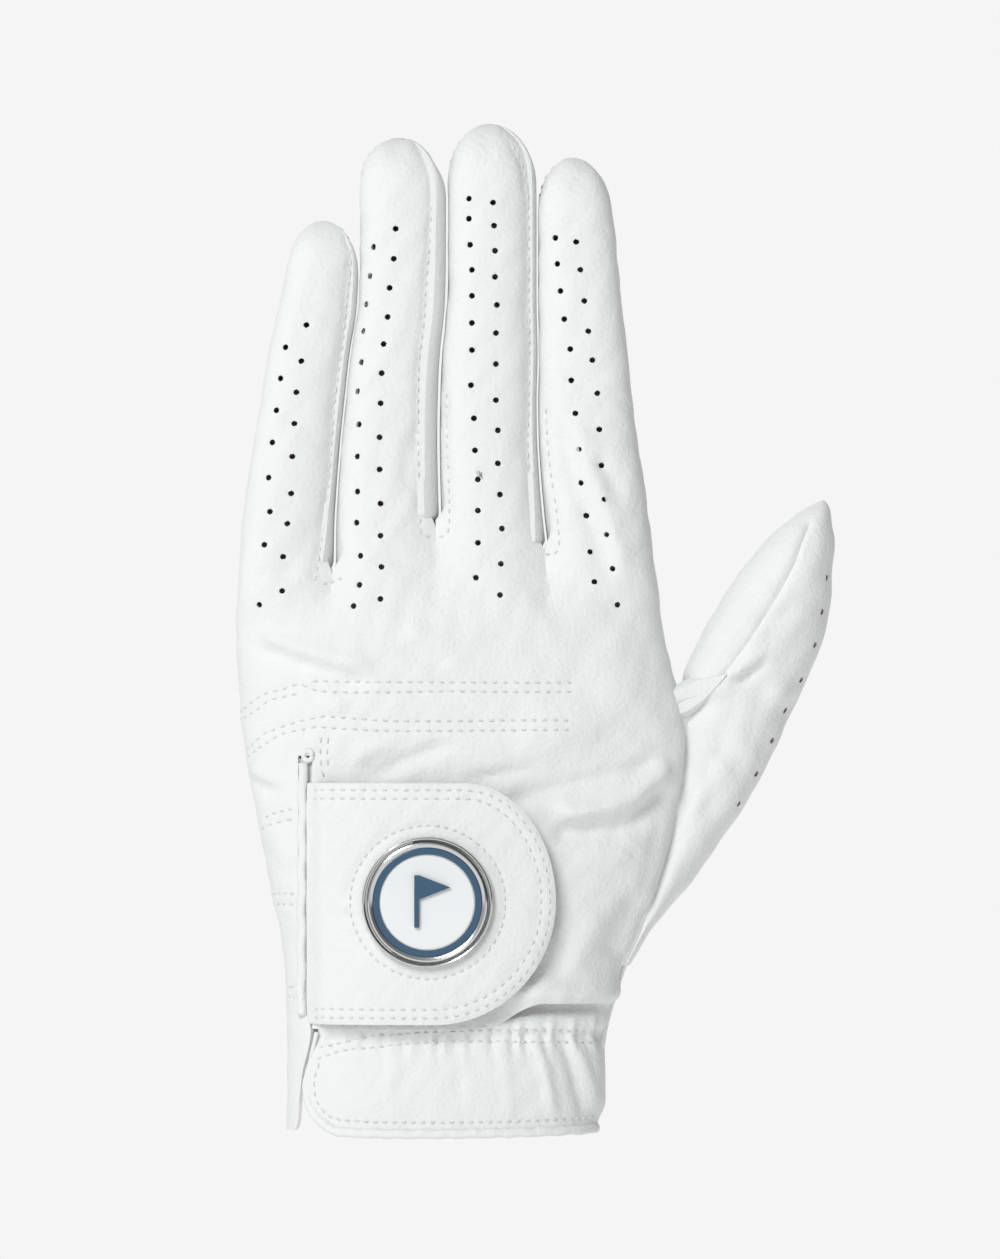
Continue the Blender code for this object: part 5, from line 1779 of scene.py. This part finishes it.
@dataclass
class Tab:
    """The closure tab with its two edge rows, its window of stitches and its inner layers."""

    finishes: Finishes
    window: tuple[float, float] = (15.4, 15.2)

    def surface(self, x: Points, z: Points) -> Points:
        """Points of the tab's outer face."""
        rise = ease((x - TAB_LEFT) / 3.4)
        return hand_at_x(x, z, out=mix(0.9, TAB_OUT, rise))

    def relief(self, points: Points) -> Points:
        """Hollow rows of stitches, the welt round the marker and the pucker beside it."""
        x, _, z = points.T
        dx, dz = x - MARKER[0], z - MARKER[1]
        away = np.hypot(dx / self.window[0], dz / self.window[1]) * 15.3
        moved = -0.22 * np.exp(-((away - 15.3) / 0.55) ** 2) + 0.3 * np.exp(
            -((away - 13.6) / 1.1) ** 2)
        edge = self.edge_distance(x, z)
        for inset in (1.4, 3.1):
            moved = moved - 0.16 * np.exp(-((edge - inset) / 0.5) ** 2)
        moved = moved - 0.45 * np.exp(-(edge / 0.7) ** 2)
        pucker = np.exp(-((dz + 1.0) / 1.2) ** 2) * np.exp(-((dx + 16.4) / 1.8) ** 2)
        return moved + 0.5 * pucker

    @staticmethod
    def edge_distance(x: Points, z: Points) -> Points:
        """Distance to the nearest of the tab's free edges."""
        theta = np.linspace(0, 1, 241)
        heights = mix(TAB_BOTTOM, TAB_TOP, 0.5 - 0.5 * np.cos(theta * math.pi))
        line = [np.stack((tab_right_edge(heights), heights), -1)]
        flat = np.linspace(TAB_LEFT, TAB_TOP_STRAIGHT, 60)
        line.append(np.stack((flat, np.full(60, TAB_TOP)), -1))
        line.append(np.stack((flat, np.full(60, TAB_BOTTOM)), -1))
        outline = np.concatenate(line)
        found = np.empty(len(x))
        for start in range(0, len(x), 2000):
            part = slice(start, start + 2000)
            found[part] = np.sqrt(
                (x[part, None] - outline[None, :, 0]) ** 2
                + (z[part, None] - outline[None, :, 1]) ** 2).min(1)
        return found

    def inset_path(self, inset: float) -> Path:
        """Outline of the free edges, moved inwards."""
        path = [(x, TAB_TOP - inset) for x in np.linspace(TAB_LEFT + 1.4, TAB_TOP_STRAIGHT, 10)]
        for share in np.linspace(0.04, 0.96, 30):
            z = mix(TAB_TOP, TAB_BOTTOM, 0.5 - 0.5 * math.cos(share * math.pi))
            x = float(tab_right_edge(np.array(z)))
            later = mix(TAB_TOP, TAB_BOTTOM, 0.5 - 0.5 * math.cos((share + 0.01) * math.pi))
            run = np.array((float(tab_right_edge(np.array(later))) - x, later - z))
            run /= np.linalg.norm(run)
            path.append((x + run[1] * inset, z - run[0] * inset))
        path += [(x, TAB_BOTTOM + inset)
                 for x in np.linspace(TAB_BOTTOM_STRAIGHT, TAB_LEFT + 1.4, 10)]
        return path

    def flat_patches(self) -> list[Points]:
        """The tab's flat shape as x and height: a strip at the fold and a rounded end."""
        z = np.linspace(TAB_BOTTOM, TAB_TOP, 81)
        share = (z - TAB_BOTTOM) / (TAB_TOP - TAB_BOTTOM)
        start = mix(TAB_BOTTOM_STRAIGHT, TAB_TOP_STRAIGHT, share)
        x = mix(TAB_LEFT, start[:, None], np.linspace(0.0, 1.0, 52)[None])
        strip = np.stack((x, np.broadcast_to(z[:, None], x.shape)), -1)
        turn = np.linspace(-math.pi / 2, math.pi / 2, 81)
        reach = np.where(turn > 0, TAB_TOP - TAB_WAIST, TAB_WAIST - TAB_BOTTOM)
        straight = np.where(turn > 0, TAB_TOP_STRAIGHT, TAB_BOTTOM_STRAIGHT)
        rim = np.stack((straight + (TAB_RIGHT - straight) * np.cos(turn),
                        TAB_WAIST + reach * np.sin(turn)), -1)
        inner = np.stack((start, z), -1)
        return [strip, mix(inner[:, None], rim[:, None], np.linspace(0.0, 1.0, 36)[None, :, None])]

    def build(self) -> None:
        """Make the tab's leather with its stitches and dress its inner layers."""
        skin = Skin([self.surface(flat[..., 0], flat[..., 1]) for flat in self.flat_patches()],
                    OUT_BACK)
        skin.press((), 0.7, self.relief)
        tree = skin.tree()
        obj = skin.obj("closure_tab_leather", self.finishes.leather, self.finishes.flesh,
                       TAB_THICK)
        self.bend(obj)
        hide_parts("closure_tab")
        stitches = Stitching()
        stitches.row(tree, self.inset_path(1.4))
        stitches.row(tree, self.inset_path(3.1))
        ring = [(MARKER[0] + self.window[0] * math.cos(t), MARKER[1] + self.window[1] * math.sin(t))
                for t in np.linspace(0, 2 * math.pi, 41)[:-1]]
        stitches.row(tree, ring, pitch=1.8, length=1.25, closed=True)
        obj = stitches.obj("tab_stitches", self.finishes.thread)
        self.bend(obj)
        self.loops()
        log.info("tab")

    def loops(self) -> None:
        """Loop tape on the back of the hand, cut round to lie under the tab."""
        z = np.linspace(29.0, 65.0, 46)
        left, right = np.full(46, -14.0), np.minimum(tab_right_edge(z) - 2.6, 18.4)
        corner = np.minimum(z - 29.0, 65.0 - z)
        left = left + 3.0 * (1.0 - np.sqrt(1.0 - np.clip(1.0 - corner / 3.0, 0.0, 1.0) ** 2))
        x = mix(left[:, None], right[:, None], np.linspace(0.0, 1.0, 40)[None])
        skin = Skin([hand_at_x(x, z[:, None], out=1.3)], OUT_BACK)
        obj = skin.obj("loop_tape", self.finishes.loops, thickness=0.6)
        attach(obj, "hand")
        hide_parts("loop_patch")

    @staticmethod
    def bend(obj: bpy.types.Object) -> None:
        """Bake the transform of a piece of the tab into its mesh."""
        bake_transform(obj)


@dataclass
class Marker:
    """The nickel cup in the tab, and the enamelled ball marker that its magnet holds.

    Attributes:
        cup: outer radius and depth of the cup.
        disc: radius and thickness of the marker.
        ring: outer and inner radius of the blue enamel.
        face: radius of the white enamel.
    """

    finishes: Finishes
    cup: tuple[float, float] = (13.0, 3.0)
    disc: tuple[float, float] = (12.0, 0.8)
    ring: tuple[float, float] = (10.8, 9.5)
    face: float = 9.3
    front: float = -21.99

    def turned(self, name: str, profile: Path, material: bpy.types.Material,
               segments: int = 96) -> bpy.types.Object:
        """Turn a profile of radius and depth round the marker's centre.

        Args:
            name: object name.
            profile: radius and y of points from the axis outwards and back again.
            material: its material.
            segments: faces round it.

        Returns:
            The object, closed and facing out.
        """
        deselect()
        bpy.ops.mesh.primitive_plane_add(size=0.002, location=(0.0, 0.0, 0.0))
        obj = bpy.context.object
        obj.name = name
        mesh = obj.data
        mesh.clear_geometry()
        points = [(radius * MM, y * MM, 0.0) for radius, y in profile]
        mesh.from_pydata(points, [(k, k + 1) for k in range(len(points) - 1)], [])
        bpy.ops.object.mode_set(mode="EDIT")
        bpy.ops.mesh.select_all(action="SELECT")
        bpy.ops.mesh.spin(steps=segments, angle=2 * math.pi, center=(0, 0, 0), axis=(0, 1, 0))
        bpy.ops.mesh.select_all(action="SELECT")
        bpy.ops.mesh.remove_doubles(threshold=0.00001)
        bpy.ops.mesh.normals_make_consistent(inside=False)
        bpy.ops.transform.translate(value=(MARKER[0] * MM, 0.0, MARKER[1] * MM))
        bpy.ops.object.mode_set(mode="OBJECT")
        deselect()
        mesh.shade_smooth()
        mesh.set_sharp_from_angle(angle=math.radians(32))
        mesh.materials.append(material)
        return obj

    def build(self) -> None:
        """Make the cup, the marker and its enamels."""
        wide, depth = self.cup
        rim = self.front
        back = rim + depth
        obj = self.turned("marker_cup_rim", (
            (0.0, back), (wide - 0.6, back), (wide - 0.15, back - 0.2), (wide, back - 0.6),
            (wide, rim + 0.35), (wide - 0.1, rim + 0.12), (wide - 0.32, rim),
            (wide - 0.52, rim + 0.1), (wide - 0.6, rim + 0.4), (wide - 0.62, back - 0.4),
            (0.0, back - 0.4)), self.finishes.nickel)
        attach(obj, "tab")
        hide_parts("marker_cup")
        radius, thick = self.disc
        y = -21.4
        obj = self.turned("ball_marker_disc", (
            (0.0, y + thick), (radius - 0.3, y + thick), (radius, y + thick - 0.25),
            (radius, y + 0.1), (radius - 0.12, y - 0.12), (radius - 0.45, y - 0.28),
            (radius - 0.8, y - 0.2), (10.9, y - 0.1), (10.8, y), (0.0, y)), self.finishes.nickel)
        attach(obj, "marker")
        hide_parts("ball_marker")
        outer, inner = self.ring
        top = -21.62
        obj = self.turned("marker_ring_enamel", (
            (inner, y - 0.02), (outer, y - 0.02), (outer, top + 0.1), (outer - 0.1, top),
            (inner + 0.1, top), (inner, top + 0.1), (inner, y - 0.02)), self.finishes.blue)
        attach(obj, "marker")
        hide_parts("marker_enamel_ring")
        obj = self.turned("marker_face_enamel", (
            (0.0, y - 0.02), (self.face, y - 0.02), (self.face, top + 0.08),
            (self.face - 0.15, top - 0.02), (self.face * 0.6, top - 0.08), (0.0, top - 0.1)),
            self.finishes.white)
        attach(obj, "marker")
        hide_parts("marker_face")
        log.info("ball marker in its cup")


@dataclass
class Interior:
    """Elastics, tapes, lining and magnet, which keep their frame shapes."""

    finishes: Finishes

    def build(self) -> None:
        """Give each carried-over node its real material."""
        dressed = {
            "wrist_elastic": self.finishes.elastic, "palm_elastic": self.finishes.elastic,
            "knuckle_elastic_upper": self.finishes.elastic,
            "knuckle_elastic_lower": self.finishes.elastic,
            "tab_lining": self.finishes.suede, "hook_patch": self.finishes.hooks,
            "cup_magnet": self.finishes.magnet, "marker_emblem": self.finishes.blue,
        }
        for name, material in dressed.items():
            obj = bpy.data.objects[name]
            obj.data.materials.clear()
            obj.data.materials.append(material)
            log.info("%s: %s", name, material.name)


@dataclass
class Studio:
    """Pale floor and backdrop, soft light and a long lens.

    Attributes:
        centre: point the camera looks at, in millimetres.
        view_height: height of the view at the glove, in millimetres.
        distance: from the camera to the glove, in millimetres.
    """

    centre: tuple[float, float, float] = (11.6, 0.0, 101.1)
    view_height: float = 251.8
    distance: float = 2400.0
    pale: str = "#F5F5F5"

    def camera(self) -> None:
        """Make the camera and set it."""
        data = bpy.data.cameras.new("camera")
        data.sensor_fit = "VERTICAL"
        data.sensor_height = 24.0
        data.lens = 24.0 * self.distance / self.view_height
        data.clip_start, data.clip_end = 0.05, 50.0
        obj = bpy.data.objects.new("camera", data)
        x, y, z = self.centre
        obj.location = world((x, y - self.distance, z))
        obj.rotation_euler = (math.pi / 2, 0.0, 0.0)
        bpy.context.scene.collection.objects.link(obj)
        bpy.context.scene.camera = obj

    def light(self, name: str, place: tuple, power: float, size: float) -> None:
        """Add a square area light that faces the glove."""
        data = bpy.data.lights.new(name, "AREA")
        data.energy, data.size = power, size
        obj = bpy.data.objects.new(name, data)
        obj.location = place
        aim = Vector((0.0116, 0.0, 0.10)) - Vector(place)
        obj.rotation_euler = aim.to_track_quat("-Z", "Y").to_euler()
        bpy.context.scene.collection.objects.link(obj)

    def build(self) -> None:
        """Make the floor with its backdrop, the lights and the camera."""
        floor_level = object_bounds()[0][2] - 0.0004
        pale = bpy.data.materials.new("matt_paper_backdrop")
        pale.use_nodes = True
        tree = pale.node_tree
        tree.nodes.remove(tree.nodes["Principled BSDF"])
        shader = add_node(tree, "ShaderNodeEmission", {"Color": linear(self.pale), "Strength": 1.0})
        tree.links.new(shader.outputs[0], tree.nodes["Material Output"].inputs["Surface"])
        profile = [(-4.0, 0.0)] + [(1.2 + 1.2 * math.sin(t), 1.2 - 1.2 * math.cos(t))
                                   for t in np.linspace(0, math.pi / 2, 20)] + [(2.4, 4.0)]
        vertices = [(x, y, z + floor_level) for y, z in profile for x in (-4.0, 4.0)]
        faces = [(2 * k, 2 * k + 1, 2 * k + 3, 2 * k + 2) for k in range(len(profile) - 1)]
        mesh = bpy.data.meshes.new("paper_backdrop")
        mesh.from_pydata(vertices, [], faces)
        mesh.materials.append(pale)
        mesh.shade_smooth()
        obj = bpy.data.objects.new("paper_backdrop", mesh)
        bpy.context.scene.collection.objects.link(obj)
        obj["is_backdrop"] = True
        sky = bpy.data.worlds.new("studio")
        sky.use_nodes = True
        tree = sky.node_tree
        tree.nodes["Background"].inputs["Color"].default_value = (1.0, 1.0, 1.0, 1.0)
        way = add_node(tree, "ShaderNodeTexCoord")
        parts = add_node(tree, "ShaderNodeSeparateXYZ", {}, {0: way.outputs["Generated"]})
        dim = add_node(tree, "ShaderNodeMapRange",
                       {"From Min": -0.2, "From Max": 0.8, "To Min": 0.42, "To Max": 0.05},
                       {"Value": parts.outputs["X"]})
        tree.links.new(dim.outputs[0], tree.nodes["Background"].inputs["Strength"])
        bpy.context.scene.world = sky
        self.light("key", (-0.95, -2.05, 1.5), 43.5, 1.1)
        self.light("left", (-1.8, -0.6, 0.6), 0.1, 1.0)
        bpy.context.scene.view_settings.view_transform = "Standard"
        self.camera()


def main() -> None:
    """Build the glove, dress it and set the studio."""
    logging.basicConfig(level=logging.INFO, format="%(name)s: %(message)s")
    deselect()
    finishes = Finishes()
    threads = Threadwork(finishes)
    HandLeather(finishes).build(threads)
    knuckles = Stitching()
    for path in KNUCKLE_ROWS:
        knuckles.row(threads.back_tree, path)
    for finger in FINGERS.values():
        for path in finger.sewn:
            knuckles.row(threads.back_tree, path, below=finger.root - 0.2)
    threads.finish(knuckles, "back_stitches", "hand",
                   ("upper_hand", (0, 0, 0.088), (0, 0, 0.110)))
    for name in ORDER:
        FingerLeather(finishes, name).build()
    for index, crotch in enumerate(CROTCHES):
        CrotchStrip(finishes, ORDER[index], ORDER[index + 1], crotch).build()
    Thumb(finishes).build()
    Cuff(finishes).build()
    Slit(finishes).build()
    Tab(finishes).build()
    Marker(finishes).build()
    Interior(finishes).build()
    Studio().build()


if __name__ == "__main__":
    main()
